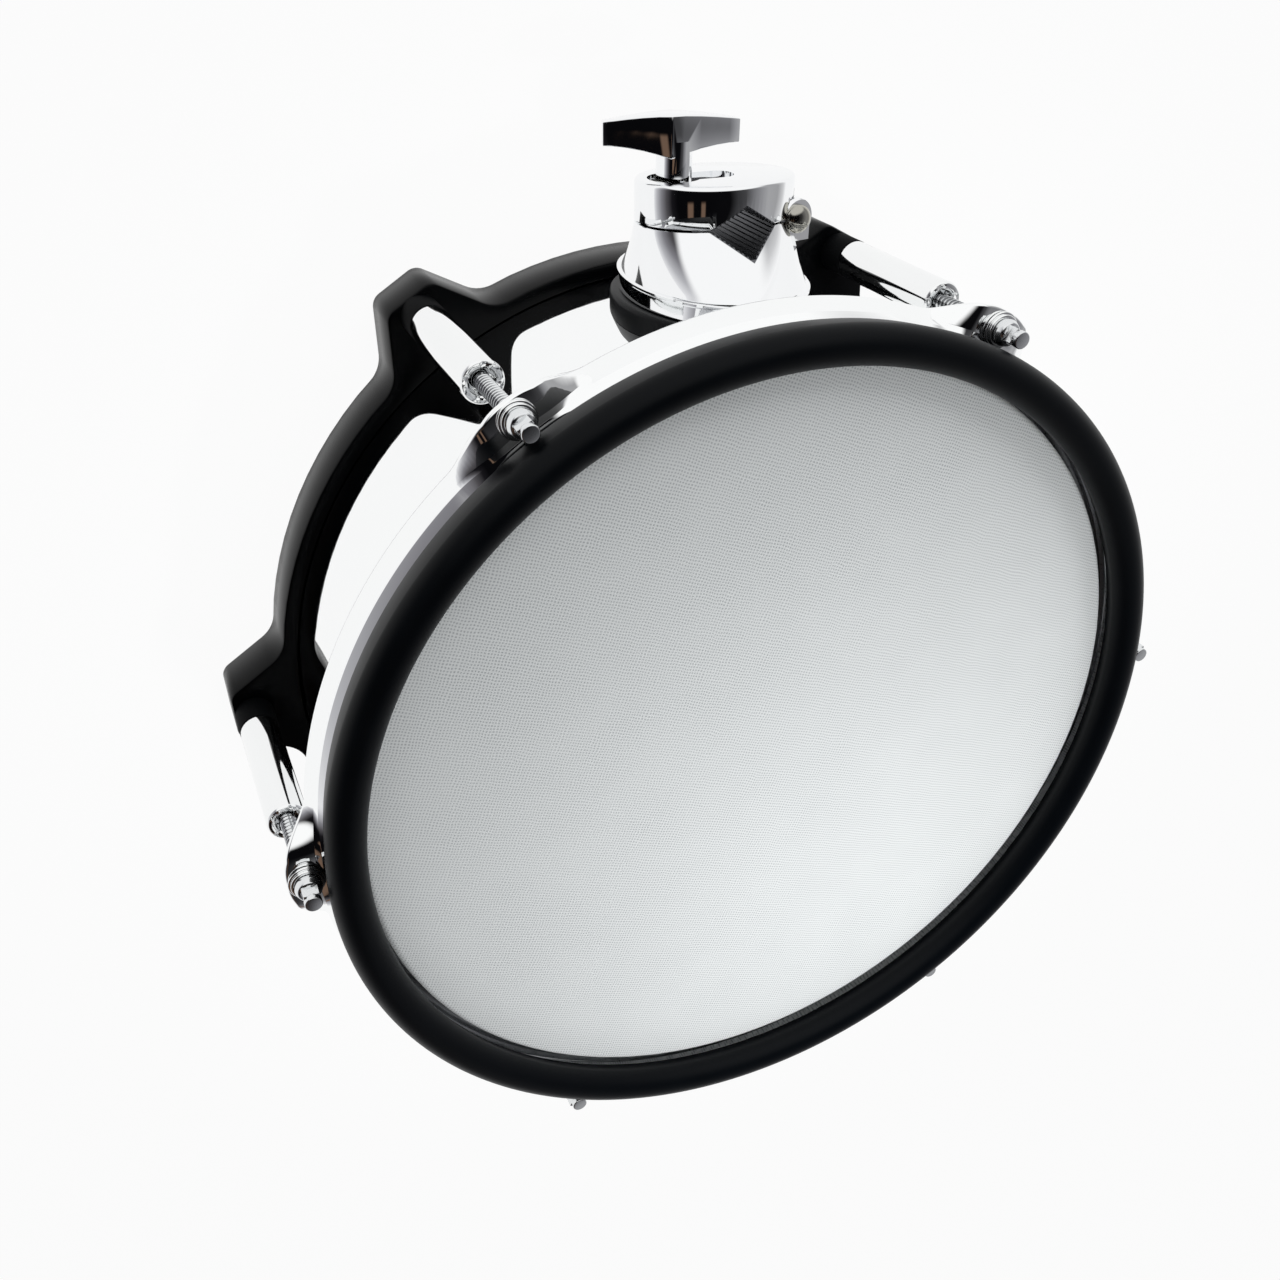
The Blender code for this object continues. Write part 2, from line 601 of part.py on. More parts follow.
def make_head():
    """The mesh drawn over the bearing edge, and the flesh hoop that pulls it."""
    under = HEAD_TOP - MESH_THICKNESS
    edge = SHELL_RADIUS + GAP
    foot = FLESH_TOP + GAP
    turned("mesh_head", [
        (0.0, HEAD_TOP), (edge - BEARING_ROLL, HEAD_TOP),
        (edge + MESH_THICKNESS, HEAD_TOP - BEARING_RISE * 0.7),
        (FLESH_INNER + 2.0 * MESH_THICKNESS, foot), (FLESH_INNER + MESH_THICKNESS, foot),
        (edge, under - BEARING_RISE * 0.8), (edge - BEARING_ROLL, under), (0.0, under)],
        ROUND_STEPS, material="woven_mesh")
    turned("flesh_hoop", [
        (FLESH_INNER + FLESH_HOOP_WIDTH, FLESH_TOP),
        (FLESH_INNER + FLESH_HOOP_WIDTH, FLESH_TOP - FLESH_HOOP_HEIGHT),
        (FLESH_INNER, FLESH_TOP - FLESH_HOOP_HEIGHT), (FLESH_INNER, FLESH_TOP)],
        ROUND_STEPS, material="aluminium", ring=True)


# Counterhoop

def smooth_share(value):
    """A smooth step from 0 to 1."""
    value = min(1.0, max(0.0, value))
    return value * value * (3.0 - 2.0 * value)


def hoop_columns():
    """The angles of the hoop's columns, closer together at the ears."""
    pitch = 2.0 * math.pi / LUG_COUNT
    ear = HOOP_EAR_HALF_WIDTH / ROD_CIRCLE_RADIUS
    blend = HOOP_EAR_BLEND / ROD_CIRCLE_RADIUS
    side = [ear, ear + blend / 3.0, ear + blend * 2.0 / 3.0, ear + blend]
    outer = pitch / 2.0
    between = [side[-1] + (outer - side[-1]) * share for share in (0.25, 0.5, 0.75)]
    offsets = [-outer] + [-v for v in reversed(between)] + [-v for v in reversed(side)]
    offsets += [0.0] + side + between
    return [(angle + offset, offset) for angle in lug_angles() for offset in offsets]


def hoop_section(offset):
    """The hoop's section at an angle from the nearest lug: a plain lip that swells to an ear."""
    across = abs(offset) * ROD_CIRCLE_RADIUS
    share = 1.0 - smooth_share((across - HOOP_EAR_HALF_WIDTH) / HOOP_EAR_BLEND)
    ear_tip = ROD_CIRCLE_RADIUS + HOOP_EAR_REACH

    def mix(plain, ear):
        return plain + (ear - plain) * share

    lip_low = mix(HOOP_BOTTOM, EAR_UNDER)
    lip_high = mix(HOOP_BOTTOM + HOOP_GAUGE, EAR_TOP)
    lip_reach = mix(HOOP_LIP_RADIUS, ear_tip)
    skirt_low = mix(HOOP_BOTTOM + 2.0 * HOOP_GAUGE, EAR_TOP)
    inner_skirt = HOOP_SKIRT_RADIUS - HOOP_GAUGE
    return [
        (lip_reach, lip_low), (lip_reach, lip_high), (HOOP_SKIRT_RADIUS + GAP, skirt_low),
        (HOOP_SKIRT_RADIUS, LEDGE_TOP - GAP), (HOOP_WALL_OUTER, LEDGE_TOP), (HOOP_WALL_OUTER, HOOP_TOP),
        (HOOP_LEDGE_INNER, HOOP_TOP), (HOOP_LEDGE_INNER, LEDGE_UNDER), (inner_skirt, LEDGE_UNDER),
        (inner_skirt, mix(HOOP_BOTTOM + HOOP_GAUGE, EAR_UNDER - HOOP_GAUGE)),
        (HOOP_SKIRT_RADIUS, mix(HOOP_BOTTOM, EAR_UNDER - GAP))]


def make_counterhoop():
    """A ring lofted through its changing sections, with a hole in each ear."""
    bm = bmesh.new()
    rings = []
    for angle, offset in hoop_columns():
        section = hoop_section(offset)
        rings.append([bm.verts.new((r * math.cos(angle), r * math.sin(angle), z)) for r, z in section])
    for here, there in zip(rings, rings[1:] + rings[:1]):
        for i in range(len(here)):
            j = (i + 1) % len(here)
            bm.faces.new((here[i], there[i], there[j], here[j]))
    bmesh.ops.triangulate(bm, faces=bm.faces)
    hoop = new_object("counterhoop", mesh_from(bm, "counterhoop"), PARTS, "chrome")
    for angle in lug_angles():
        hole = cylinder("ear_hole", HOOP_EAR_HOLE_RADIUS, HOOP_BOTTOM, HOOP_TOP, 12, CUTTERS)
        hole.location = at_lug(angle)
        hole.rotation_euler = (0.0, 0.0, angle + math.pi / 12.0)
        boolean(hoop, hole)
    shade(hoop)


def make_rubber_rim():
    """A soft bead with a slot that grips the hoop's upper wall."""
    centre_height = RIM_FOOT + RIM_BEAD_RISE
    bead = []
    for i in range(8):
        angle = math.pi * i / 7.0
        bead.append((RIM_BEAD_CENTRE_RADIUS - RIM_BEAD_RADIUS * math.cos(angle),
                     centre_height + RIM_BEAD_RADIUS * math.sin(angle)))
    slot_outer = HOOP_WALL_OUTER + RIM_SLOT_GAP
    slot_inner = HOOP_LEDGE_INNER - RIM_SLOT_GAP
    inner_foot = HEAD_TOP + GAP + MESH_THICKNESS
    profile = bead + [
        (RIM_BEAD_CENTRE_RADIUS + RIM_FOOT_HALF_WIDTH, RIM_FOOT), (slot_outer, RIM_FOOT),
        (slot_outer, HOOP_TOP + GAP), (slot_inner, HOOP_TOP + GAP),
        (slot_inner, inner_foot), (RIM_BEAD_CENTRE_RADIUS - RIM_FOOT_HALF_WIDTH, inner_foot)]
    turned("rubber_rim", profile, ROUND_STEPS, material="black_rubber", ring=True)


# Rod clamp. Its own frame stands on the shell's surface, with +Y outwards.

def clamp_matrix(matrix=None):
    """World place of something laid out in the clamp's own frame."""
    own = Matrix.Translation((0.0, SHELL_RADIUS, CLAMP_HEIGHT))
    return Matrix.Rotation(CLAMP_ANGLE - math.pi / 2.0, 4, "Z") @ own @ (matrix or Matrix())


def on_clamp(item, matrix=None):
    """Place an object laid out in the clamp's own frame."""
    item.matrix_world = clamp_matrix(matrix)
    return item


def laid(item, matrix):
    """Lay a cutter out in the clamp's own frame."""
    item.matrix_world = matrix
    return item


def upright(x, z=0.0):
    """A frame on the clamp whose Z axis points along +Y, away from the shell."""
    return Matrix.Translation((x, 0.0, z)) @ RADIAL


def oval_loft(name, sections, steps, collection=None, material=None):
    """A solid through ovals: each section is (height along +Y, half width, half length)."""
    bm = bmesh.new()
    rings = []
    for height, half_width, half_length in sections:
        made = bmesh.ops.create_circle(bm, cap_ends=False, segments=steps, radius=1.0)
        place = Matrix.Translation((0.0, 0.0, height)) @ Matrix.Diagonal((half_width, half_length, 1.0, 1.0))
        bmesh.ops.transform(bm, matrix=place, verts=made["verts"])
        rings.append(made["verts"])
    for lower, upper in zip(rings, rings[1:]):
        for i in range(steps):
            after = (i + 1) % steps
            bm.faces.new((lower[i], lower[after], upper[after], upper[i]))
    for end in (rings[0], rings[-1]):
        bm.faces.new(end)
    bmesh.ops.transform(bm, matrix=RADIAL, verts=bm.verts)
    return new_object(name, mesh_from(bm, name), collection or PARTS, material)


def groove_tool(name):
    """A bar along Z whose section is the rod's diamond, cut flat at the bottom of the groove."""
    land = (GROOVE_LOWER_DEPTH + JAW_GAP / 2.0) * (1.0 - GROOVE_LAND_HALF_WIDTH / GROOVE_HALF_WIDTH)
    outline = [
        (GROOVE_X - GROOVE_HALF_WIDTH, HINGE_Y), (GROOVE_X - GROOVE_LAND_HALF_WIDTH, HINGE_Y - land),
        (GROOVE_X + GROOVE_LAND_HALF_WIDTH, HINGE_Y - land), (GROOVE_X + GROOVE_HALF_WIDTH, HINGE_Y),
        (GROOVE_X, HINGE_Y + GROOVE_UPPER_DEPTH + JAW_GAP / 2.0)]
    return prism(name, outline, -2.0 * SADDLE_HALF_LENGTH, 2.0 * SADDLE_HALF_LENGTH, CUTTERS)


def clamp_cylinder(name, radius, low, high, x, z=0.0, steps=16):
    """A cylinder cutter along +Y in the clamp's own frame."""
    return laid(cylinder(name, radius, low, high, steps, CUTTERS), upright(x, z))


def hinge_cylinder(name, radius, low, high, steps=16):
    """A cylinder about the clamp's hinge axis."""
    item = cylinder(name, radius, low, high, steps, CUTTERS)
    return laid(item, Matrix.Translation((HINGE_X, HINGE_Y, 0.0)))


def clamp_box(name, low, high):
    """A box cutter in the clamp's own frame."""
    return box(name, low, high, CUTTERS)


def clamp_bolt_holes(low, high):
    """Clearance holes for the two bolts that hold the clamp."""
    reach = CLAMP_BOLT_SPACING / 2.0
    return [clamp_cylinder("clamp_bolt_hole", CLAMP_BOLT_RADIUS + GAP, low, high, 0.0, z, 12)
            for z in (-reach, reach)]


def cheek_outline():
    """The section of a cheek: round about the hinge, and straight down into the jaw."""
    start = -math.pi / CHEEK_STEPS
    turn = math.pi - start
    outline = []
    for i in range(CHEEK_STEPS + 1):
        angle = start + turn * i / CHEEK_STEPS
        outline.append((HINGE_X + HINGE_BOSS_RADIUS * math.cos(angle),
                        HINGE_Y + HINGE_BOSS_RADIUS * math.sin(angle)))
    foot = PARTING - HINGE_BOSS_RADIUS
    return outline + [(outline[-1][0], foot), (outline[0][0], foot)]


def pin_end_rooms(cheek_reach):
    """Room in both jaws for the pin's domed ends."""
    far = 2.0 * (cheek_reach + HINGE_DOME_HEIGHT)
    radius = HINGE_DOME_RADIUS + 2.0 * GAP
    return [hinge_cylinder("pin_end_room", radius, low, high)
            for low, high in ((cheek_reach, far), (-far, -cheek_reach))]


def make_saddle():
    """The rubber saddle: flat on top and hollowed to the shell below."""
    low = -SADDLE_HALF_WIDTH
    saddle = oval_loft("clamp_saddle", [
        (low, SADDLE_HALF_WIDTH, SADDLE_HALF_LENGTH),
        (SADDLE_TOP - SADDLE_EDGE, SADDLE_HALF_WIDTH, SADDLE_HALF_LENGTH),
        (SADDLE_TOP, SADDLE_HALF_WIDTH - SADDLE_EDGE, SADDLE_HALF_LENGTH - SADDLE_EDGE)], 32)
    reach = 2.0 * SADDLE_HALF_LENGTH
    hollow = cylinder("saddle_hollow", SHELL_RADIUS + GAP, -reach, reach, 4 * ROUND_STEPS, CUTTERS)
    boolean(saddle, laid(hollow, Matrix.Translation((0.0, -SHELL_RADIUS, 0.0))))
    for tool in clamp_bolt_holes(low, CLAMP_FOOT + GAP):
        boolean(saddle, tool)
    shade(on_clamp(settled(saddle, "clamp_saddle", material="black_rubber")))


def make_clamp_base():
    """The chromed lower jaw: a plinth, a lip and a waist that rises to the parting line."""
    lip_wide = PLINTH_HALF_WIDTH + LIP_OVERHANG / 2.0
    lip_long = PLINTH_HALF_LENGTH + LIP_OVERHANG
    lip_low = CLAMP_FOOT + PLINTH_HEIGHT
    lip_high = lip_low + LIP_HEIGHT
    rise = PARTING - lip_high
    waist = [(lip_high + rise * share,
              CAP_HALF_LENGTH + (lip_wide - CAP_HALF_LENGTH) * (1.0 - share) ** 2,
              CAP_HALF_WIDTH + (lip_long - 2.0 * LIP_OVERHANG - CAP_HALF_WIDTH) * (1.0 - share) ** 2)
             for share in (0.06, 0.3, 0.6, 1.0)]
    jaw = oval_loft("clamp_base", [
        (CLAMP_FOOT, PLINTH_HALF_WIDTH, PLINTH_HALF_LENGTH), (lip_low, PLINTH_HALF_WIDTH, PLINTH_HALF_LENGTH),
        (lip_low, lip_wide, lip_long), (lip_high, lip_wide, lip_long)] + waist, 32)
    boolean(jaw, groove_tool("lower_groove"))
    bore_floor = PARTING - WING_STUD_BITE - GAP
    boolean(jaw, clamp_cylinder("stud_bore", WING_STUD_RADIUS + GAP, bore_floor, CAP_TOP, WING_X, steps=14))
    for tool in clamp_bolt_holes(SADDLE_TOP - GAP, CLAMP_FOOT + CLAMP_BOLT_BITE + GAP):
        boolean(jaw, tool)
    cheek_reach = HINGE_KNUCKLE_HALF + GAP + HINGE_CHEEK
    knuckle_room = HINGE_KNUCKLE_HALF + GAP
    for side in (-1.0, 1.0):
        low, high = sorted((side * knuckle_room, side * cheek_reach))
        boolean(jaw, prism("base_cheek", cheek_outline(), low, high, CUTTERS), "UNION")
    boss_room = HINGE_BOSS_RADIUS + 2.0 * GAP
    boolean(jaw, hinge_cylinder("cap_knuckle_room", boss_room, -knuckle_room, knuckle_room))
    clear = clamp_box("cap_knuckle_way", (HINGE_X - boss_room, HINGE_Y, -knuckle_room),
                      (HINGE_X + 3.0 * HINGE_BOSS_RADIUS, CAP_TOP, knuckle_room))
    boolean(jaw, clear)
    for tool in pin_end_rooms(cheek_reach):
        boolean(jaw, tool)
    through = 2.0 * cheek_reach
    boolean(jaw, hinge_cylinder("base_pin_bore", HINGE_PIN_RADIUS + GAP, -through, through, 12))
    shade(on_clamp(settled(jaw, "clamp_base", material="chrome")))


def make_clamp_cap():
    """The hinged upper jaw, slotted for the wing screw. Its origin is on the hinge."""
    cheek_reach = HINGE_KNUCKLE_HALF + GAP + HINGE_CHEEK
    cap = oval_loft("cap_blank", [
        (CAP_BOTTOM, CAP_HALF_LENGTH, CAP_HALF_WIDTH), (CAP_TOP - CAP_EDGE, CAP_HALF_LENGTH, CAP_HALF_WIDTH),
        (CAP_TOP, CAP_HALF_LENGTH - CAP_EDGE, CAP_HALF_WIDTH - CAP_EDGE)], 32)
    boolean(cap, groove_tool("upper_groove"))
    slot = WING_STUD_RADIUS + GAP
    under = CAP_BOTTOM - GAP
    over = CAP_TOP + GAP
    for shift in (-CAP_SLOT_TRAVEL, CAP_SLOT_TRAVEL):
        boolean(cap, clamp_cylinder("cap_slot_end", slot, under, over, WING_X + shift, steps=14))
        x = WING_X + shift / 2.0
        boolean(cap, clamp_cylinder("cap_recess_end", CAP_RECESS_RADIUS, RECESS_FLOOR, over, x, steps=20))
    low_corner = (WING_X - CAP_SLOT_TRAVEL, under, -slot)
    boolean(cap, clamp_box("cap_slot", low_corner, (WING_X + CAP_SLOT_TRAVEL, over, slot)))
    knuckle = hinge_cylinder("cap_knuckle", HINGE_BOSS_RADIUS, -HINGE_KNUCKLE_HALF, HINGE_KNUCKLE_HALF)
    boolean(cap, knuckle, "UNION")
    room_top = CAP_TOP - CAP_HEIGHT / 3.0
    for side in (-1.0, 1.0):
        low, high = sorted((side * HINGE_KNUCKLE_HALF, side * (cheek_reach + GAP)))
        boolean(cap, hinge_cylinder("base_knuckle_room", HINGE_BOSS_RADIUS + 2.0 * GAP, low, high))
        room = clamp_box("base_web_room", (HINGE_X, CAP_BOTTOM - GAP, low), (2.0 * HINGE_X, room_top, high))
        boolean(cap, room)
    for tool in pin_end_rooms(cheek_reach):
        boolean(cap, tool)
    through = 2.0 * cheek_reach
    boolean(cap, hinge_cylinder("cap_pin_bore", HINGE_PIN_RADIUS + RUN, -through, through, 12))
    done = settled(cap, "clamp_cap", material="chrome")
    hinge = Matrix.Translation((HINGE_X, HINGE_Y, 0.0))
    done.data.transform(hinge.inverted())
    shade(on_clamp(done, hinge))


def make_hinge_pin():
    """The pin through both jaws, with a domed end on each side."""
    reach = HINGE_KNUCKLE_HALF + GAP + HINGE_CHEEK + GAP
    tip = reach + HINGE_DOME_HEIGHT
    shoulder = reach + HINGE_DOME_HEIGHT * 0.45
    pin = turned("hinge_pin", [
        (0.0, tip), (HINGE_DOME_RADIUS * 0.65, tip - HINGE_DOME_HEIGHT * 0.2), (HINGE_DOME_RADIUS, shoulder),
        (HINGE_DOME_RADIUS, reach), (HINGE_PIN_RADIUS, reach),
        (HINGE_PIN_RADIUS, -reach), (HINGE_DOME_RADIUS, -reach), (HINGE_DOME_RADIUS, -shoulder),
        (HINGE_DOME_RADIUS * 0.65, -tip + HINGE_DOME_HEIGHT * 0.2), (0.0, -tip)], 16, material="plated_steel")
    on_clamp(pin, Matrix.Translation((HINGE_X, HINGE_Y, 0.0)))


def make_wing_screw():
    """The wing screw: tapered wings with a sharp ridge, a sleeve and a stud into the lower jaw."""
    tip_low = WING_BOTTOM + (WING_HEIGHT - WING_TIP_HEIGHT) * 0.6
    tip_high = tip_low + WING_TIP_HEIGHT
    top = WING_BOTTOM + WING_HEIGHT
    bm = bmesh.new()
    sections = [(-WING_HALF_SPAN, WING_TIP_HALF_DEPTH, tip_low, tip_high),
                (0.0, WING_HALF_DEPTH, WING_BOTTOM, top),
                (WING_HALF_SPAN, WING_TIP_HALF_DEPTH, tip_low, tip_high)]
    half_way = WING_HALF_SPAN / 2.0
    lift = (tip_low - WING_BOTTOM) * 0.72
    drop = (top - tip_high) * 0.35
    depth = (WING_HALF_DEPTH + WING_TIP_HALF_DEPTH) / 2.0
    sections.insert(1, (-half_way, depth, WING_BOTTOM + lift, top - drop))
    sections.insert(3, (half_way, depth, WING_BOTTOM + lift, top - drop))
    rings = [[bm.verts.new((x, y, z)) for y, z in ((-d, low), (d, low), (d, high), (-d, high))]
             for x, d, low, high in sections]
    for here, there in zip(rings, rings[1:]):
        for i in range(4):
            bm.faces.new((here[i], here[(i + 1) % 4], there[(i + 1) % 4], there[i]))
    bm.faces.new(rings[0])
    bm.faces.new(rings[-1])
    wings = new_object("wing_blank", mesh_from(bm, "wing_blank"), CUTTERS)
    wings.rotation_euler = (0.0, 0.0, WING_TURN)
    stud_end = PARTING - WING_STUD_BITE
    stem = turned("wing_stem", [
        (0.0, WING_BOTTOM + WING_HEIGHT / 2.0), (WING_SLEEVE_RADIUS, WING_BOTTOM + WING_HEIGHT / 2.0),
        (WING_SLEEVE_RADIUS, SLEEVE_BOTTOM), (WING_STUD_RADIUS, SLEEVE_BOTTOM),
        (WING_STUD_RADIUS, stud_end + GAP), (WING_STUD_RADIUS - GAP, stud_end), (0.0, stud_end)], 20)
    boolean(stem, wings, "UNION")
    done = settled(stem, "wing_screw", material="chrome")
    on_clamp(done, upright(WING_X))
    shade(done)
    low = RECESS_FLOOR + GAP
    hole = WING_STUD_RADIUS + RUN
    washer = turned("wing_washer", [
        (WING_WASHER_RADIUS, low + WING_WASHER_THICKNESS), (WING_WASHER_RADIUS, low), (hole, low),
        (hole, low + WING_WASHER_THICKNESS)], 20, material="plated_steel", ring=True)
    on_clamp(washer, upright(WING_X))


def make_clamp_fixings():
    """Two bolts from inside the shell, on a curved backing plate."""
    outer = SHELL_INSIDE - GAP
    inner = outer - BACKING_THICKNESS
    reach = BACKING_HALF_LENGTH
    bm = bmesh.new()
    corners = ((inner, -reach), (outer, -reach), (outer, reach), (inner, reach))
    face = bm.faces.new([bm.verts.new((r, 0.0, z)) for r, z in corners])
    bmesh.ops.spin(bm, geom=[face], cent=(0.0, 0.0, 0.0), axis=(0.0, 0.0, 1.0),
                   angle=2.0 * BACKING_HALF_ANGLE, steps=6)
    turn = Matrix.Rotation(math.pi / 2.0 - BACKING_HALF_ANGLE, 4, "Z")
    place = Matrix.Translation((0.0, -SHELL_RADIUS, 0.0)) @ turn
    bmesh.ops.transform(bm, matrix=place, verts=bm.verts)
    plate = new_object("plate_blank", mesh_from(bm, "plate_blank"), PARTS)
    for tool in clamp_bolt_holes(-SHELL_RADIUS / 4.0, 0.0):
        boolean(plate, tool)
    on_clamp(settled(plate, "backing_plate", material="plated_steel"))
    head_top = inner * math.cos(BACKING_HALF_ANGLE / 4.0) - GAP - SHELL_RADIUS
    head_low = head_top - CLAMP_BOLT_HEAD_HEIGHT
    for number, side in enumerate((-1.0, 1.0), start=1):
        bolt = turned(f"clamp_bolt_{number}", [
            (0.0, CLAMP_FOOT + CLAMP_BOLT_BITE), (CLAMP_BOLT_RADIUS, CLAMP_FOOT + CLAMP_BOLT_BITE),
            (CLAMP_BOLT_RADIUS, head_top), (CLAMP_BOLT_HEAD_RADIUS, head_top),
            (CLAMP_BOLT_HEAD_RADIUS, head_low), (0.0, head_low)], 12, material="zinc_screw")
        on_clamp(bolt, upright(0.0, side * CLAMP_BOLT_SPACING / 2.0))


# Sensors

def bridge_screw_x():
    """Distance of the bridge's screws from the drum's axis."""
    return BRIDGE_LEG_X + BRIDGE_GAUGE + (BRIDGE_FOOT - BRIDGE_GAUGE) / 2.0


def make_bridge():
    """A steel strap with two legs, screwed to the base ring's floor."""
    foot = BASE_FLOOR + GAP
    leg_out = BRIDGE_LEG_X + BRIDGE_GAUGE
    foot_out = BRIDGE_LEG_X + BRIDGE_FOOT
    foot_top = foot + BRIDGE_GAUGE
    half = [(foot_out, foot), (foot_out, foot_top), (leg_out, foot_top), (leg_out, BRIDGE_TOP)]
    inside = [(BRIDGE_LEG_X, BRIDGE_TOP - BRIDGE_GAUGE), (BRIDGE_LEG_X, foot)]
    outline = half + [(-x, z) for x, z in reversed(half)]
    outline += [(-x, z) for x, z in reversed(inside)] + inside
    bridge = prism("sensor_bridge", outline, -BRIDGE_WIDTH / 2.0, BRIDGE_WIDTH / 2.0, material="plated_steel")
    bridge.rotation_euler = (math.pi / 2.0, 0.0, 0.0)
    for number, side in enumerate((-1.0, 1.0), start=1):
        x = side * bridge_screw_x()
        hole = cylinder("bridge_hole", BRIDGE_SCREW_RADIUS + GAP, 0.0, BRIDGE_TOP / 2.0, 10, CUTTERS)
        hole.location = (x, 0.0, 0.0)
        boolean(bridge, hole)
        head_low = foot_top + GAP
        screw = turned(f"bridge_screw_{number}", [
            (0.0, head_low + BRIDGE_SCREW_HEAD_HEIGHT),
            (BRIDGE_SCREW_HEAD_RADIUS, head_low + BRIDGE_SCREW_HEAD_HEIGHT),
            (BRIDGE_SCREW_HEAD_RADIUS, head_low), (BRIDGE_SCREW_RADIUS, head_low),
            (BRIDGE_SCREW_RADIUS, BASE_FLOOR - BRIDGE_SCREW_BITE), (0.0, BASE_FLOOR - BRIDGE_SCREW_BITE)],
            10, material="zinc_screw")
        screw.location = (x, 0.0, 0.0)


def make_sensors():
    """Head sensor under a foam cone, and the rim sensor under the strap."""
    pad_low = BRIDGE_TOP + GAP
    disc_low = pad_low + PAD_HEIGHT + GAP
    cone_low = disc_low + PIEZO_THICKNESS + GAP
    cone_top = HEAD_TOP - MESH_THICKNESS - GAP
    cylinder("piezo_pad", PAD_RADIUS, pad_low, pad_low + PAD_HEIGHT, 24, material="grey_foam")
    cylinder("head_piezo", PIEZO_RADIUS, disc_low, disc_low + PIEZO_THICKNESS, 24, material="brass")
    cylinder("foam_cone", CONE_BASE_RADIUS, cone_low, cone_top, 24, material="grey_foam",
             top_radius=CONE_TOP_RADIUS)
    rim_top = BRIDGE_TOP - BRIDGE_GAUGE - GAP
    rim_low = rim_top - RIM_PIEZO_THICKNESS
    rim = cylinder("rim_piezo", RIM_PIEZO_RADIUS, rim_low, rim_top, 24, material="brass")
    rim.location = (RIM_PIEZO_X, 0.0, 0.0)


def lead(name, points):
    """A thin sheathed lead along a smooth curve through its points."""
    guide = bpy.data.curves.new(name + "_guide", "CURVE")
    guide.dimensions = "3D"
    spline = guide.splines.new("NURBS")
    spline.points.add(len(points) - 1)
    for point, place in zip(spline.points, points):
        point.co = (*place, 1.0)
    spline.use_endpoint_u = True
    spline.order_u = 3
    spline.resolution_u = 2
    guide.bevel_depth = LEAD_RADIUS
    guide.bevel_resolution = 1
    guide.use_fill_caps = True
    item = bpy.data.objects.new(name + "_guide", guide)
    CUTTERS.objects.link(item)
    done = settled(item, name, material="lead_sheath")
    bm = bmesh.new()
    bm.from_mesh(done.data)
    bmesh.ops.remove_doubles(bm, verts=bm.verts, dist=0.00001)
    bmesh.ops.recalc_face_normals(bm, faces=bm.faces)
    bm.to_mesh(done.data)
    bm.free()


def make_leads():
    """One lead from each sensor, down the bridge and round to the jack's back."""
    back = -(math.sqrt((SHELL_INSIDE - GAP) ** 2 - (JACK_SIDE / 2.0) ** 2) - JACK_LENGTH - GAP)
    drop = BRIDGE_WIDTH / 2.0
    disc = BRIDGE_TOP + GAP + PAD_HEIGHT + GAP + PIEZO_THICKNESS / 2.0
    floor = COVER_THICKNESS + GAP + LEAD_RADIUS
    side = LEAD_RADIUS + GAP
    rise = disc - floor
    lead("head_lead", [
        (-side, -PIEZO_RADIUS - GAP, disc), (-side, -drop - LEAD_BEND, disc),
        (-side, -drop - 1.5 * LEAD_BEND, disc - rise * 0.25),
        (-side, -drop - 2.0 * LEAD_BEND, floor + rise * 0.15),
        (-side, -drop - 4.0 * LEAD_BEND, floor), (-side, back * 0.7, floor),
        (-side, back + 1.5 * LEAD_BEND, floor + LEAD_RADIUS), (-side, back + LEAD_BEND, JACK_HEIGHT),
        (-side, back, JACK_HEIGHT)])
    rim_low = BRIDGE_TOP - BRIDGE_GAUGE - GAP - RIM_PIEZO_THICKNESS - GAP - LEAD_RADIUS
    fall = rim_low - floor
    lead("rim_lead", [
        (RIM_PIEZO_X, 0.0, rim_low), (RIM_PIEZO_X * 0.86, -0.2 * drop, rim_low - 0.05 * fall),
        (RIM_PIEZO_X * 0.63, -drop, rim_low - 0.4 * fall),
        (RIM_PIEZO_X * 0.43, -2.0 * drop, floor + 0.08 * fall),
        (RIM_PIEZO_X * 0.29, -3.0 * drop, floor), (side + LEAD_BEND, back * 0.7, floor),
        (side, back + 1.5 * LEAD_BEND, floor + LEAD_RADIUS), (side, back + LEAD_BEND, JACK_HEIGHT),
        (side, back, JACK_HEIGHT)])


# Output jack

def jack_matrix(matrix=None):
    """World place of something laid out along +Y at the jack's height."""
    own = Matrix.Translation((0.0, 0.0, JACK_HEIGHT))
    return Matrix.Rotation(JACK_ANGLE - math.pi / 2.0, 4, "Z") @ own @ (matrix or Matrix())


def jack_passage():
    """The hole for the jack's bush through the ring's wall and the shell."""
    inside = SHELL_INNER - JACK_SIDE
    outside = BASE_RADIUS + JACK_SIDE
    tool = cylinder("jack_passage", JACK_BUSH_RADIUS + GAP, inside, outside, 16, CUTTERS)
    tool.matrix_world = jack_matrix(RADIAL)
    return tool


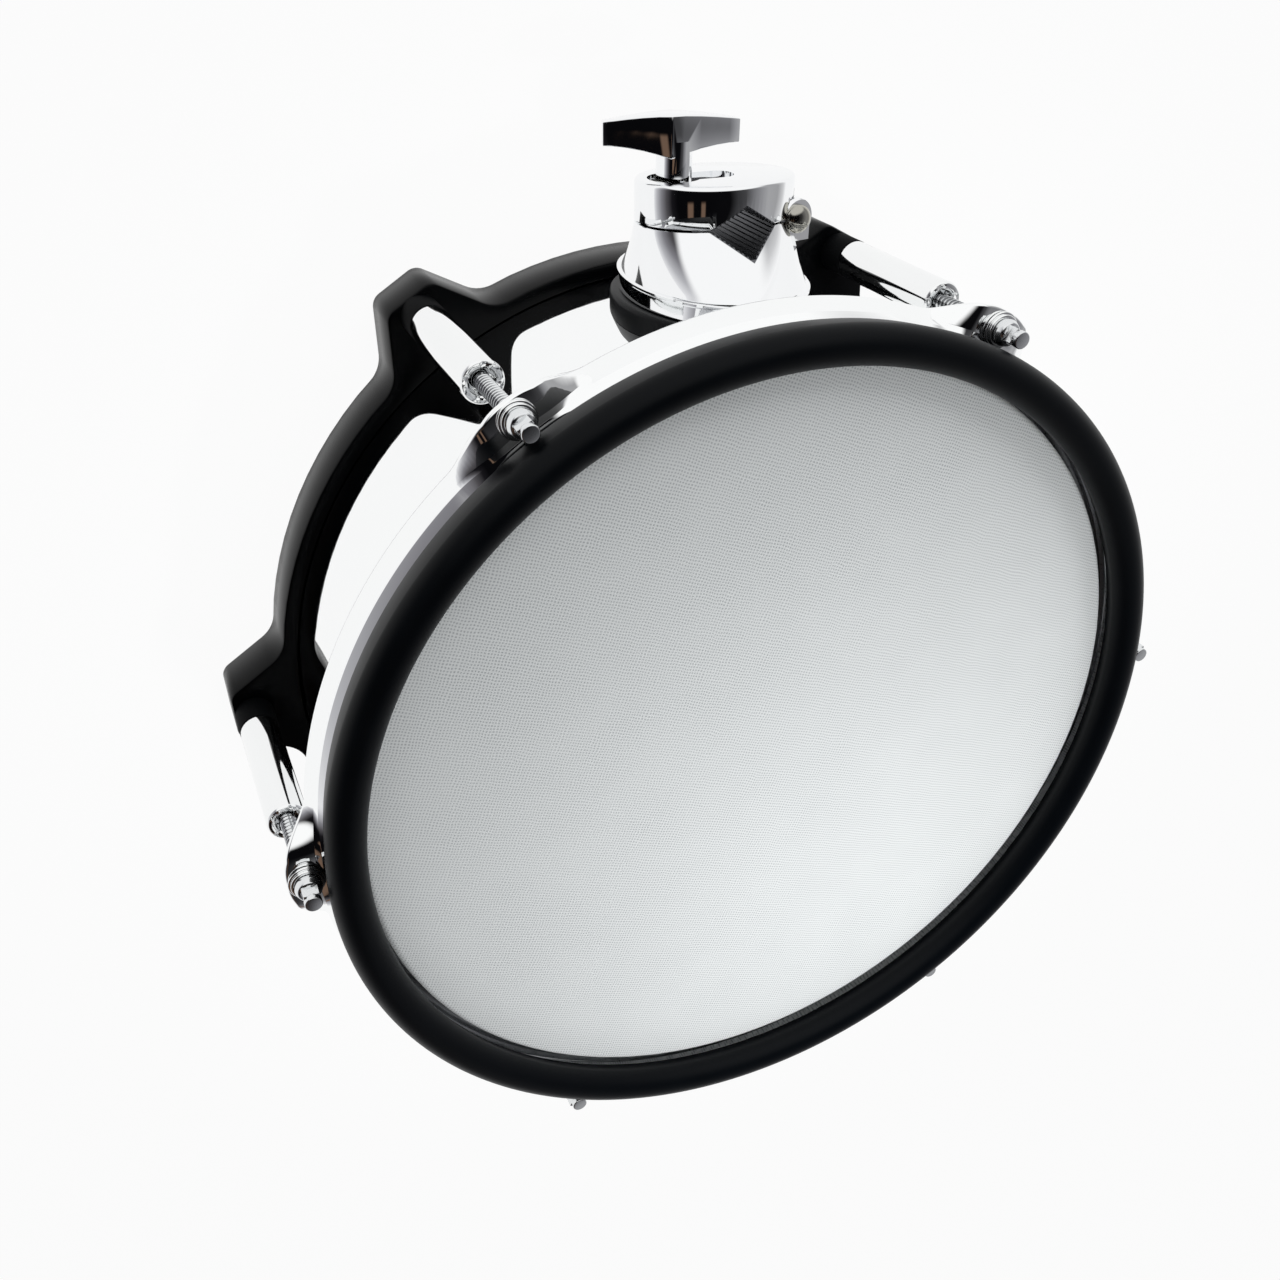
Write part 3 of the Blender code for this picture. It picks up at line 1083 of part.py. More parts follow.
def make_jack():
    """A quarter-inch jack behind the wall, with its nut outside."""
    body_out = math.sqrt((SHELL_INSIDE - GAP) ** 2 - (JACK_SIDE / 2.0) ** 2)
    body_in = body_out - JACK_LENGTH
    half = JACK_SIDE / 2.0
    nut_in = BASE_RADIUS + GAP
    nut_out = nut_in + JACK_NUT_THICKNESS
    mouth = nut_out + JACK_BUSH_PROUD
    body = box("jack_body", (-half, body_in, -half), (half, body_out, half), material="jack_plastic")
    body.matrix_world = jack_matrix()
    bush = cylinder("jack_bush", JACK_BUSH_RADIUS, body_out - JACK_SIDE / 2.0, mouth, 16, CUTTERS)
    bush.matrix_world = jack_matrix(RADIAL)
    bore = cylinder("jack_bore", JACK_BORE_RADIUS, mouth - JACK_BORE_DEPTH, mouth + JACK_SIDE, 16, CUTTERS)
    bore.matrix_world = jack_matrix(RADIAL)
    boolean(body, bush, "UNION")
    boolean(body, bore)
    nut = cylinder("jack_nut", JACK_NUT_RADIUS, nut_in, nut_out, 6, material="plated_steel")
    nut.matrix_world = jack_matrix(RADIAL)
    nut_room = JACK_BUSH_RADIUS + GAP
    hole = cylinder("jack_nut_hole", nut_room, nut_in - JACK_SIDE, mouth + JACK_SIDE, 16, CUTTERS)
    hole.matrix_world = jack_matrix(RADIAL)
    boolean(nut, hole)


def main():
    """Make every piece."""
    make_base_ring()
    make_bottom_cover()
    make_lugs()
    make_tension_rods()
    make_shell()
    make_head()
    make_counterhoop()
    make_rubber_rim()
    make_saddle()
    make_clamp_base()
    make_clamp_cap()
    make_hinge_pin()
    make_wing_screw()
    make_clamp_fixings()
    make_bridge()
    make_sensors()
    make_leads()
    make_jack()


main()
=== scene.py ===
"""Looks of an electronic snare drum pad: chrome shell, moulded ring, mesh head, rod clamp."""

import math

import bmesh
import bpy
from mathutils import Matrix, Vector


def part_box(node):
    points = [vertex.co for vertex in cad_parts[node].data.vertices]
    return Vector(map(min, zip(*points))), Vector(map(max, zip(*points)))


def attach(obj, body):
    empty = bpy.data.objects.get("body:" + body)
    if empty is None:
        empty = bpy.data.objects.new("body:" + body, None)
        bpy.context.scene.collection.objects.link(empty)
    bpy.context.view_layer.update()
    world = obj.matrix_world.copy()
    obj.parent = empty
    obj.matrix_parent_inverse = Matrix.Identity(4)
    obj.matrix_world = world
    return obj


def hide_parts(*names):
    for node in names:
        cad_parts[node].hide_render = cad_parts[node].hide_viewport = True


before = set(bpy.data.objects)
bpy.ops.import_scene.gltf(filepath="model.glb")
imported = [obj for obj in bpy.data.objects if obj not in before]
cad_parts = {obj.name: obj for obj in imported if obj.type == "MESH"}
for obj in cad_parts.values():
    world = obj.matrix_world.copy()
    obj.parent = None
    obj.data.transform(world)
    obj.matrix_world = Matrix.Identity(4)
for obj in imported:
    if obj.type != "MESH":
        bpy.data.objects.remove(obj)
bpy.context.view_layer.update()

bl_info = {
    "name": "Electronic snare drum",
    "version": (1, 0, 0),
    "blender": (4, 5, 0),
    "location": "View3D > Sidebar > Drum",
    "description": "Builds the looks of a twelve-inch electronic snare drum pad",
    "category": "Object",
}

MM = 0.001
FULL_TURN = 2.0 * math.pi
LUGS = 6
LUG_ANGLES = [FULL_TURN * i / LUGS for i in range(LUGS)]

# Heights on the drum's axis, in millimetres
RING_TOP = 22.4
SHELL_FOOT = 9.3
SHELL_TOP = 129.4
HEAD_TOP = 130.1
HOOP_LOW = 113.4
LEDGE_UNDER = 123.4
LEDGE_TOP = 125.7
HOOP_TOP = 138.8
EAR_TOP = 124.2
COLLAR_FOOT = 124.6
TUBE_TOP = 93.0
TUBE_FOOT = 35.3
TUBE_RADIUS = 7.2
BOSS_TOP = 35.0
BOSS_RADIUS = 7.3

# The clamp stands on the shell, laid out along +Y and turned to its angle
CLAMP_ANGLE = math.radians(87.8)
CLAMP_HEIGHT = 67.9
SADDLE_TOP = 152.3
CLAMP_FOOT = 152.6
PARTING = 177.3
CAP_BOTTOM = 177.9
CAP_TOP = 190.9
HINGE_X = 24.3
HINGE_Y = 177.6
WING_X = -15.0
GROOVE_X = 1.8
GROOVE_HALF = 12.5
GROOVE_LAND = 169.64
GROOVE_APEX = 184.9


# Small tools

def linear(hex_colour):
    """An sRGB hex colour as linear RGBA."""
    shown = [int(hex_colour[i:i + 2], 16) / 255.0 for i in (1, 3, 5)]
    turned_linear = [c / 12.92 if c <= 0.04045 else ((c + 0.055) / 1.055) ** 2.4 for c in shown]
    return (*turned_linear, 1.0)


def add_node(tree, kind, inputs=None, **settings):
    """A node with its settings, and its inputs set or linked."""
    made = tree.nodes.new(kind)
    for name, value in settings.items():
        setattr(made, name, value)
    for name, value in (inputs or {}).items():
        if isinstance(value, bpy.types.NodeSocket):
            tree.links.new(value, made.inputs[name])
        else:
            made.inputs[name].default_value = value
    return made


def new_finish(name):
    """An empty material with a Principled shader on its output, and its coordinates in millimetres."""
    material = bpy.data.materials.new(name)
    material.use_nodes = True
    tree = material.node_tree
    tree.nodes.clear()
    shader = add_node(tree, "ShaderNodeBsdfPrincipled")
    add_node(tree, "ShaderNodeOutputMaterial", {"Surface": shader.outputs["BSDF"]})
    place = add_node(tree, "ShaderNodeTexCoord")
    scaled = add_node(tree, "ShaderNodeVectorMath", {0: place.outputs["Object"], 1: (1000.0, 1000.0, 1000.0)},
                      operation="MULTIPLY")
    return material, tree, shader, scaled.outputs["Vector"]


def connect(tree, shader, **links):
    """Link sockets into the shader by the names of its inputs."""
    for name, socket in links.items():
        tree.links.new(socket, shader.inputs[name.replace("_", " ")])


def spread(tree, value, low, high):
    """Take a 0 to 1 value to a range."""
    return add_node(tree, "ShaderNodeMapRange", {"Value": value, "To Min": low, "To Max": high}).outputs["Result"]


def smooth_step(tree, value, low, high):
    """0 below a value and 1 above another, eased between."""
    return add_node(tree, "ShaderNodeMapRange", {"Value": value, "From Min": low, "From Max": high},
                    interpolation_type="SMOOTHSTEP").outputs["Result"]


def noise_at(tree, place, period, detail=2.0, roughness=0.5):
    """Noise whose features are about that many millimetres across."""
    return add_node(tree, "ShaderNodeTexNoise", {
        "Vector": place, "Scale": 1.0 / period, "Detail": detail, "Roughness": roughness}).outputs["Fac"]


def bumped(tree, height, depth, strength=1.0):
    """A bump of that depth in millimetres."""
    return add_node(tree, "ShaderNodeBump", {
        "Height": height, "Distance": depth * MM, "Strength": strength}).outputs["Normal"]


def rounded(corners, steps=4, closed=True):
    """A polyline of (x, y, fillet) corners, each turned to an arc."""
    points = []
    count = len(corners)
    for i, (x, y, fillet) in enumerate(corners):
        here = Vector((x, y))
        if fillet == 0.0 or (not closed and i in (0, count - 1)):
            points.append(here)
            continue
        before = Vector(corners[i - 1][:2]) - here
        after = Vector(corners[(i + 1) % count][:2]) - here
        half = before.angle(after) / 2.0
        reach = min(fillet / math.tan(half), 0.48 * before.length, 0.48 * after.length)
        radius = reach * math.tan(half)
        to_before = before.normalized()
        to_after = after.normalized()
        centre = here + (to_before + to_after).normalized() * (radius / math.sin(half))
        start = here + to_before * reach - centre
        end = here + to_after * reach - centre
        for k in range(steps + 1):
            points.append(centre + start.lerp(end, k / steps).normalized() * radius)
    return points


def turned(bm, profile, steps, ring=True, tag=None, angle=FULL_TURN):
    """Spin a profile of (radius, height) in millimetres about Z."""
    verts = [bm.verts.new((x * MM, 0.0, z * MM)) for x, z in profile]
    if tag is not None:
        for number, vert in enumerate(verts):
            vert[tag] = number
    following = verts[1:] + (verts[:1] if ring else [])
    edges = [bm.edges.new(pair) for pair in zip(verts, following)]
    bmesh.ops.spin(bm, geom=verts + edges, cent=(0, 0, 0), axis=(0, 0, 1), dvec=(0, 0, 0),
                   angle=angle, steps=steps, use_merge=angle == FULL_TURN, use_normal_flip=False,
                   use_duplicate=False)
    bmesh.ops.remove_doubles(bm, verts=bm.verts, dist=1e-7)
    bmesh.ops.recalc_face_normals(bm, faces=bm.faces)
    return bm


def turned_shape(profile, steps, ring=True):
    """A new bmesh of one turned shape."""
    return turned(bmesh.new(), profile, steps, ring)


def add_loop(bm, points, height):
    """A closed loop of edges at a height, in millimetres."""
    verts = [bm.verts.new((x * MM, y * MM, height * MM)) for x, y in points]
    return [bm.edges.new(pair) for pair in zip(verts, verts[1:] + verts[:1])]


def circle_points(radius, count, centre=(0.0, 0.0)):
    """Points round a circle."""
    return [(centre[0] + radius * math.cos(FULL_TURN * i / count),
             centre[1] + radius * math.sin(FULL_TURN * i / count)) for i in range(count)]


def oval_points(half_x, half_y, count):
    """Points round an ellipse."""
    return [(half_x * x, half_y * y) for x, y in circle_points(1.0, count)]


def lofted(loops, bm=None, capped=True):
    """Bridge loops of points, each given with its height, and cap the ends."""
    bm = bm or bmesh.new()
    made = [add_loop(bm, points, height) for points, height in loops]
    for lower, upper in zip(made, made[1:]):
        bmesh.ops.bridge_loops(bm, edges=lower + upper)
    if capped:
        for end in (made[0], made[-1]):
            bmesh.ops.contextual_create(bm, geom=end)
    bmesh.ops.recalc_face_normals(bm, faces=bm.faces)
    return bm


def moved(bm, matrix):
    """Transform a whole bmesh."""
    bmesh.ops.transform(bm, matrix=matrix, verts=bm.verts)
    return bm


def joined(first, *others):
    """Put further bmeshes into the first."""
    for other in others:
        mesh = bpy.data.meshes.new("join")
        other.to_mesh(mesh)
        other.free()
        first.from_mesh(mesh)
        bpy.data.meshes.remove(mesh)
    return first


def loose_object(bm, name):
    """A linked object that holds a bmesh for a moment."""
    mesh = bpy.data.meshes.new(name)
    bm.to_mesh(mesh)
    bm.free()
    item = bpy.data.objects.new(name, mesh)
    bpy.context.scene.collection.objects.link(item)
    return item


def carved(blank, tools):
    """Cut and join bmeshes with exact Booleans. Each tool is (bmesh, operation)."""
    body = loose_object(blank, "blank")
    helpers = []
    for tool, operation in tools:
        helper = loose_object(tool, "tool")
        helpers.append(helper)
        cut = body.modifiers.new("cut", "BOOLEAN")
        cut.operation = operation
        cut.solver = "EXACT"
        cut.object = helper
    bpy.context.view_layer.update()
    graph = bpy.context.evaluated_depsgraph_get()
    result = bpy.data.meshes.new_from_object(body.evaluated_get(graph))
    bm = bmesh.new()
    bm.from_mesh(result)
    for item in (body, *helpers):
        bpy.data.objects.remove(item, do_unlink=True)
    bpy.data.meshes.remove(result)
    bmesh.ops.remove_doubles(bm, verts=bm.verts, dist=2e-6)
    bmesh.ops.recalc_face_normals(bm, faces=bm.faces)
    return bm


def block(low, high):
    """A box between two corners in millimetres."""
    low, high = Vector(low) * MM, Vector(high) * MM
    bm = bmesh.new()
    place = Matrix.Translation((low + high) / 2.0) @ Matrix.Diagonal((*(high - low), 1.0))
    bmesh.ops.create_cube(bm, size=1.0, matrix=place)
    return bm


def rod(radius, low, high, count=32):
    """A plain cylinder along Z in millimetres."""
    bm = bmesh.new()
    place = Matrix.Translation((0.0, 0.0, (low + high) / 2.0 * MM))
    bmesh.ops.create_cone(bm, cap_ends=True, segments=count, radius1=radius * MM, radius2=radius * MM,
                          depth=(high - low) * MM, matrix=place)
    return bm


def add_piece(name, bm, material, body, nodes=(), sharp=35.0, matrix=None):
    """Make a shown piece that rides on a body and stands for its nodes."""
    if matrix is not None:
        moved(bm, matrix)
    mesh = bpy.data.meshes.new(name)
    bm.to_mesh(mesh)
    bm.free()
    mesh.shade_smooth()
    mesh.set_sharp_from_angle(angle=math.radians(sharp))
    mesh.materials.append(material)
    item = bpy.data.objects.new(name, mesh)
    bpy.context.scene.collection.objects.link(item)
    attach(item, body)
    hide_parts(*nodes)
    return item


def copies_at_lugs(stem, bm, material, body_of, nodes_of, sharp=35.0):
    """A copy of a shape made on the Z axis at each lug."""
    for number, angle in enumerate(LUG_ANGLES, start=1):
        place = Matrix.Rotation(angle, 4, "Z") @ Matrix.Translation((lug_circle(), 0.0, 0.0))
        add_piece(f"{stem}_{number}", bm.copy(), material, body_of(number), nodes_of(number), sharp, place)
    bm.free()


def lug_circle():
    """Radius of the circle of lugs in metres."""
    low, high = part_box("lug_tube_1")
    return (low.x + high.x) / 2.0


def on_clamp(local=None):
    """World place of something laid out in the clamp's own frame."""
    own = Matrix.Translation((0.0, 0.0, CLAMP_HEIGHT * MM))
    return Matrix.Rotation(CLAMP_ANGLE - math.pi / 2.0, 4, "Z") @ own @ (local or Matrix())


def upright(x=0.0, z=0.0):
    """A frame on the clamp whose Z axis points away from the shell."""
    return Matrix.Translation((x * MM, 0.0, z * MM)) @ Matrix.Rotation(-math.pi / 2.0, 4, "X")


# Finishes

def make_chrome(name, tint, roughness):
    """Bright nickel-chrome plate: a mirror with the faintest haze and polishing waves."""
    material, tree, shader, place = new_finish(name)
    haze = noise_at(tree, place, 9.0, 3.0)
    shader.inputs["Base Color"].default_value = linear(tint)
    shader.inputs["Metallic"].default_value = 1.0
    waves = noise_at(tree, place, 26.0, 1.0)
    connect(tree, shader, Roughness=spread(tree, haze, roughness * 0.6, roughness * 1.4),
            Normal=bumped(tree, waves, 0.02, 0.5))
    return material


def make_rod_chrome():
    """Chrome plate on rolled steel rods, duller than on the shell, with painted shade that darkens the thread's
    grooves.
    """
    material, tree, shader, place = new_finish("chrome_plate_on_rods")
    height = add_node(tree, "ShaderNodeSeparateXYZ", {"Vector": place}).outputs["Z"]
    angle = add_node(tree, "ShaderNodeMath", {0: height, 1: FULL_TURN * MM / drum().thread_pitch},
                     operation="MULTIPLY")
    wave = add_node(tree, "ShaderNodeMath", {0: angle.outputs[0]}, operation="SINE")
    # Painted shade: the colour turns dark grey down in each groove of the thread, fading out just below the collar.
    groove = add_node(tree, "ShaderNodeMath", {0: smooth_step(tree, wave.outputs[0], -0.2, 1.0),
                                               1: smooth_step(tree, height, COLLAR_FOOT, COLLAR_FOOT - 2.0)},
                      operation="MULTIPLY")
    colour = add_node(tree, "ShaderNodeMix", {"Factor": groove.outputs[0], "A": linear("#e4e6e7"),
                                              "B": linear("#6c6e70")}, data_type="RGBA")
    shader.inputs["Metallic"].default_value = 1.0
    connect(tree, shader, Base_Color=colour.outputs["Result"],
            Roughness=spread(tree, noise_at(tree, place, 9.0, 3.0), 0.1, 0.22))
    return material


def make_casting_chrome():
    """Chromed zinc die casting: a mirror outside, and inside the rod's groove painted shade, a streaked dark grey with
    a rougher finish.
    """
    material, tree, shader, place = new_finish("chrome_plate_on_castings")
    own = add_node(tree, "ShaderNodeMapping", {"Vector": place, "Rotation": (0.0, 0.0, math.pi / 2.0 - CLAMP_ANGLE)})
    apart = add_node(tree, "ShaderNodeSeparateXYZ", {"Vector": own.outputs["Vector"]})
    aside = add_node(tree, "ShaderNodeMath", {0: apart.outputs["X"], 1: GROOVE_X}, operation="SUBTRACT")
    aside = add_node(tree, "ShaderNodeMath", {0: aside.outputs[0]}, operation="ABSOLUTE")
    widths = []
    for low, high, start, end in ((GROOVE_LAND, HINGE_Y, 1.2, GROOVE_HALF), (HINGE_Y, GROOVE_APEX, GROOVE_HALF, 0.0)):
        widths.append(add_node(tree, "ShaderNodeMapRange", {
            "Value": apart.outputs["Y"], "From Min": low, "From Max": high, "To Min": start, "To Max": end},
            clamp=False).outputs["Result"])
    half = add_node(tree, "ShaderNodeMath", {0: widths[0], 1: widths[1]}, operation="MINIMUM")
    depth = add_node(tree, "ShaderNodeMath", {0: half.outputs[0], 1: aside.outputs[0]}, operation="SUBTRACT")
    inside = smooth_step(tree, depth.outputs[0], -0.35, 0.05)
    # Painted shade: inside the groove the colour drops to a streaked dark grey, for the shade in the rod's hole, and
    # the finish turns rougher.
    drawn = add_node(tree, "ShaderNodeMapping", {"Vector": place, "Scale": (1.0, 1.0, 0.08)})
    streaks = noise_at(tree, drawn.outputs["Vector"], 0.6, 3.0)
    groove_shade_streaks = add_node(tree, "ShaderNodeMix", {"Factor": streaks, "A": linear("#45464a"), "B": linear("#85868a")},
                    data_type="RGBA")
    colour = add_node(tree, "ShaderNodeMix", {"Factor": inside, "A": linear("#f6f7f8"),
                                              "B": groove_shade_streaks.outputs["Result"]}, data_type="RGBA")
    haze = spread(tree, noise_at(tree, place, 9.0, 3.0), 0.025, 0.055)
    roughness = add_node(tree, "ShaderNodeMix", {"Factor": inside, "A": haze, "B": 0.42})
    shader.inputs["Metallic"].default_value = 1.0
    connect(tree, shader, Base_Color=colour.outputs["Result"], Roughness=roughness.outputs["Result"],
            Normal=bumped(tree, noise_at(tree, place, 26.0, 1.0), 0.02, 0.5))
    return material


def make_black_moulding():
    """Injection-moulded ABS: near black, glossy, with a very fine moulded skin."""
    material, tree, shader, place = new_finish("moulded_black_abs")
    tone = noise_at(tree, place, 40.0, 3.0)
    colour = add_node(tree, "ShaderNodeMix", {"Factor": tone, "A": linear("#020304"), "B": linear("#060709")},
                      data_type="RGBA")
    skin = noise_at(tree, place, 0.8, 2.0)
    shader.inputs["Specular IOR Level"].default_value = 0.08
    connect(tree, shader, Base_Color=colour.outputs["Result"], Roughness=spread(tree, tone, 0.2, 0.28),
            Normal=bumped(tree, skin, 0.01, 0.35))
    return material


def make_rubber():
    """Moulded EPDM rubber: blue-black, dull, with fine pores and a soft sheen at grazing angles."""
    material, tree, shader, place = new_finish("moulded_epdm_rubber")
    tone = noise_at(tree, place, 18.0, 4.0)
    colour = add_node(tree, "ShaderNodeMix", {"Factor": tone, "A": linear("#030508"), "B": linear("#06090d")},
                      data_type="RGBA")
    pores = noise_at(tree, place, 0.55, 3.0, 0.6)
    shader.inputs["Specular IOR Level"].default_value = 0.12
    shader.inputs["Sheen Weight"].default_value = 0.015
    shader.inputs["Sheen Roughness"].default_value = 0.4
    shader.inputs["Sheen Tint"].default_value = linear("#8c98ac")
    connect(tree, shader, Base_Color=colour.outputs["Result"], Roughness=spread(tree, tone, 0.36, 0.46),
            Normal=bumped(tree, pores, 0.03, 0.35))
    return material


def make_mesh_cloth():
    """Woven polyester drum mesh, its gaps painted grey as the shaded inside of the drum seen through the weave. Real
    threads lie 0.4 mm apart; drawn at 1.1 mm so that they show.
    """
    material, tree, shader, place = new_finish("woven_polyester_mesh")
    wander = add_node(tree, "ShaderNodeTexNoise", {"Vector": place, "Scale": 1.0 / 7.0, "Detail": 2.0}).outputs["Color"]
    drift = add_node(tree, "ShaderNodeVectorMath", {0: wander, 1: (1.6, 1.6, 0.0), 2: place}, operation="MULTIPLY_ADD")
    turn = add_node(tree, "ShaderNodeMapping", {"Vector": drift.outputs["Vector"],
                                                "Rotation": (0.0, 0.0, math.radians(24.0))})
    apart = add_node(tree, "ShaderNodeSeparateXYZ", {"Vector": turn.outputs["Vector"]})
    pitch = 1.1
    waves = []
    for axis in ("X", "Y"):
        angle = add_node(tree, "ShaderNodeMath", {0: apart.outputs[axis], 1: FULL_TURN / pitch}, operation="MULTIPLY")
        wave = add_node(tree, "ShaderNodeMath", {0: angle.outputs[0]}, operation="SINE")
        half = spread(tree, wave.outputs[0], 0.0, 1.0)
        half.node.inputs["From Min"].default_value = -1.0
        waves.append(half)
    crossing = add_node(tree, "ShaderNodeMath", {0: waves[0], 1: waves[1]}, operation="MULTIPLY")
    weave = crossing.outputs[0]
    patch = noise_at(tree, place, 24.0, 3.0)
    contrast = spread(tree, patch, 0.5, 1.0)
    shade = add_node(tree, "ShaderNodeMath", {0: weave, 1: contrast}, operation="MULTIPLY")
    # Painted shade: the gaps between threads are painted grey for the drum's shaded inside seen through them, varied at
    # random by the patches.
    threads = add_node(tree, "ShaderNodeMix", {"Factor": shade.outputs[0], "A": linear("#eef1f1"),
                                               "B": linear("#9ba0a3")}, data_type="RGBA")
    shader.inputs["Sheen Weight"].default_value = 0.15
    shader.inputs["Sheen Roughness"].default_value = 0.5
    shader.inputs["Roughness"].default_value = 0.7
    connect(tree, shader, Base_Color=threads.outputs["Result"], Normal=bumped(tree, weave, 0.08, 0.5))
    return material


def make_metal(name, tint, roughness, grain):
    """A plain or plated metal with a fine directional grain along Z."""
    material, tree, shader, place = new_finish(name)
    drawn = add_node(tree, "ShaderNodeMapping", {"Vector": place, "Scale": (1.0, 1.0, grain)})
    grit = noise_at(tree, drawn.outputs["Vector"], 0.7, 3.0)
    shader.inputs["Base Color"].default_value = linear(tint)
    shader.inputs["Metallic"].default_value = 1.0
    connect(tree, shader, Roughness=spread(tree, grit, roughness * 0.7, roughness * 1.3),
            Normal=bumped(tree, grit, 0.01, 0.4))
    return material


def make_dull(name, dark, light, roughness, period, depth, specular=0.5):
    """A dull moulded or foamed surface with grain of that period in millimetres."""
    material, tree, shader, place = new_finish(name)
    grain = noise_at(tree, place, period, 4.0, 0.6)
    colour = add_node(tree, "ShaderNodeMix", {"Factor": grain, "A": linear(dark), "B": linear(light)},
                      data_type="RGBA")
    shader.inputs["Roughness"].default_value = roughness
    shader.inputs["Specular IOR Level"].default_value = specular
    connect(tree, shader, Base_Color=colour.outputs["Result"], Normal=bumped(tree, grain, depth, 0.6))
    return material


FINISHES = {}


def finish(name):
    """A finish by name, made the first time that it is asked for."""
    makers = {
        "shell_chrome": lambda: make_chrome("chrome_plate_on_shell", drum().chrome_tint_hex, 0.035),
        "hoop_chrome": lambda: make_chrome("chrome_plate_on_hoop", drum().chrome_tint_hex, 0.04),
        "lug_chrome": lambda: make_chrome("chrome_plate_on_lugs", "#f6f7f7", 0.06),
        "cast_chrome": make_casting_chrome,
        "rod_chrome": make_rod_chrome,
        "nickel": lambda: make_metal("nickel_plated_pin", "#b3b1a8", 0.12, 1.0),
        "moulding": make_black_moulding,
        "rubber": make_rubber,
        "mesh": make_mesh_cloth,
        "aluminium": lambda: make_metal("extruded_aluminium", "#c3c5c8", 0.3, 0.05),
        "zinc": lambda: make_metal("bright_zinc_plate", "#b9b9b4", 0.3, 1.0),
        "brass": lambda: make_metal("piezo_brass_disc", "#c9a24e", 0.3, 1.0),
        "foam": lambda: make_dull("open_cell_foam", "#26272a", "#3a3b3e", 0.95, 0.9, 0.4),
        "dull_moulding": lambda: make_dull("textured_black_abs", "#020304", "#060709", 0.7, 0.8, 0.02, 0.06),
        "jack_plastic": lambda: make_dull("moulded_nylon", "#101114", "#17181b", 0.4, 0.6, 0.02),
        "sheath": lambda: make_dull("soft_pvc_sheath", "#5a1013", "#6c1518", 0.45, 1.2, 0.02),
    }
    if name not in FINISHES:
        FINISHES[name] = makers[name]()
    return FINISHES[name]


# Settings that a user would change

class DrumSettings(bpy.types.PropertyGroup):
    """Sizes and colours of the drum."""

    chrome_tint_hex: bpy.props.StringProperty(name="Chrome tint", description="Colour of the plating", default="#fafbfb")
    hoop_fall: bpy.props.FloatProperty(
        name="Ear blend", description="Length over which the hoop's lip sweeps up to an ear",
        default=18.0 * MM, subtype="DISTANCE", unit="LENGTH")
    # The real thread has 24 turns in an inch, too fine to show, so it is drawn coarser
    thread_pitch: bpy.props.FloatProperty(
        name="Thread pitch", description="Rise of the tension rod's drawn thread in one turn",
        default=1.8 * MM, subtype="DISTANCE", unit="LENGTH")
    round_steps: bpy.props.IntProperty(
        name="Round steps", description="Segments round the drum's large rings", default=288, min=48)


def drum():
    """The scene's drum settings."""
    return bpy.context.scene.drum_settings


class DrumOperator:
    """What the drum's operators share."""

    bl_options = {"REGISTER", "UNDO"}

    def execute(self, context):
        self.make(drum())
        return {"FINISHED"}


# Shell and head

class DRUM_OT_shell(DrumOperator, bpy.types.Operator):
    """Rolled steel shell with a rounded bearing edge"""

    bl_idname = "drum.shell"
    bl_label = "Shell"

    def make(self, settings):
        outer = 148.0
        inner = outer - 1.6
        profile = rounded([
            (outer, SHELL_FOOT, 0.4), (outer, SHELL_TOP - 3.0, 4.0), (outer - 1.5, SHELL_TOP, 0.8),
            (outer - 3.5, SHELL_TOP, 0.6), (outer - 3.5, SHELL_TOP - 1.6, 0.4), (inner, SHELL_TOP - 3.0, 2.0),
            (inner, SHELL_FOOT, 0.4)])
        add_piece("shell_skin", turned_shape(profile, settings.round_steps), finish("shell_chrome"),
                  "drum", ["shell"])


class DRUM_OT_head(DrumOperator, bpy.types.Operator):
    """Woven mesh head drawn over the bearing edge"""

    bl_idname = "drum.head"
    bl_label = "Mesh head"

    def make(self, settings):
        top = HEAD_TOP
        rings = [(float(r), top) for r in range(0, 144, 12)]
        outside = rings + [(146.4, top), (147.5, top - 0.3), (148.4, top - 1.2), (148.9, top - 3.0), (149.4, top - 6.5)]
        inside = [(149.1, top - 6.5), (148.6, top - 3.0), (148.1, top - 1.4), (147.3, top - 0.6), (146.4, top - 0.35)]
        inside += [(r, top - 0.35) for r, _ in reversed(rings)]
        head = add_piece("mesh_cloth", turned_shape(outside + inside, settings.round_steps, ring=False),
                         finish("mesh"), "drum", ["mesh_head"])
        band = rounded([(149.4, 123.0, 0.8), (156.6, 123.0, 0.8), (156.6, 114.6, 0.8), (149.4, 114.6, 0.8)])
        add_piece("head_flesh_hoop", turned_shape(band, settings.round_steps), finish("aluminium"),
                  "drum", ["flesh_hoop"])


class DRUM_OT_rubber_rim(DrumOperator, bpy.types.Operator):
    """Soft rubber bead clipped over the hoop's upper wall"""

    bl_idname = "drum.rubber_rim"
    bl_label = "Rubber rim"

    def make(self, settings):
        centre, height, bead, rise = 155.0, 136.0, 6.7, 6.5
        arc = [(centre - bead * math.cos(math.pi * i / 24.0), height + rise * math.sin(math.pi * i / 24.0))
               for i in range(25)]
        foot = rounded([
            (centre + bead, height, 0.0), (centre + 4.9, 126.0, 0.8), (155.5, 126.0, 0.3), (155.5, 139.1, 0.4),
            (152.2, 139.1, 0.4), (152.2, 130.8, 0.3), (centre - 4.7, 130.8, 0.6), (centre - bead, height, 0.0)],
            closed=False)
        profile = [*arc, *[tuple(p) for p in foot[1:-1]]]
        add_piece("rim_bead", turned_shape(profile, settings.round_steps), finish("rubber"),
                  "drum", ["rubber_rim"], sharp=50.0)


# Counterhoop

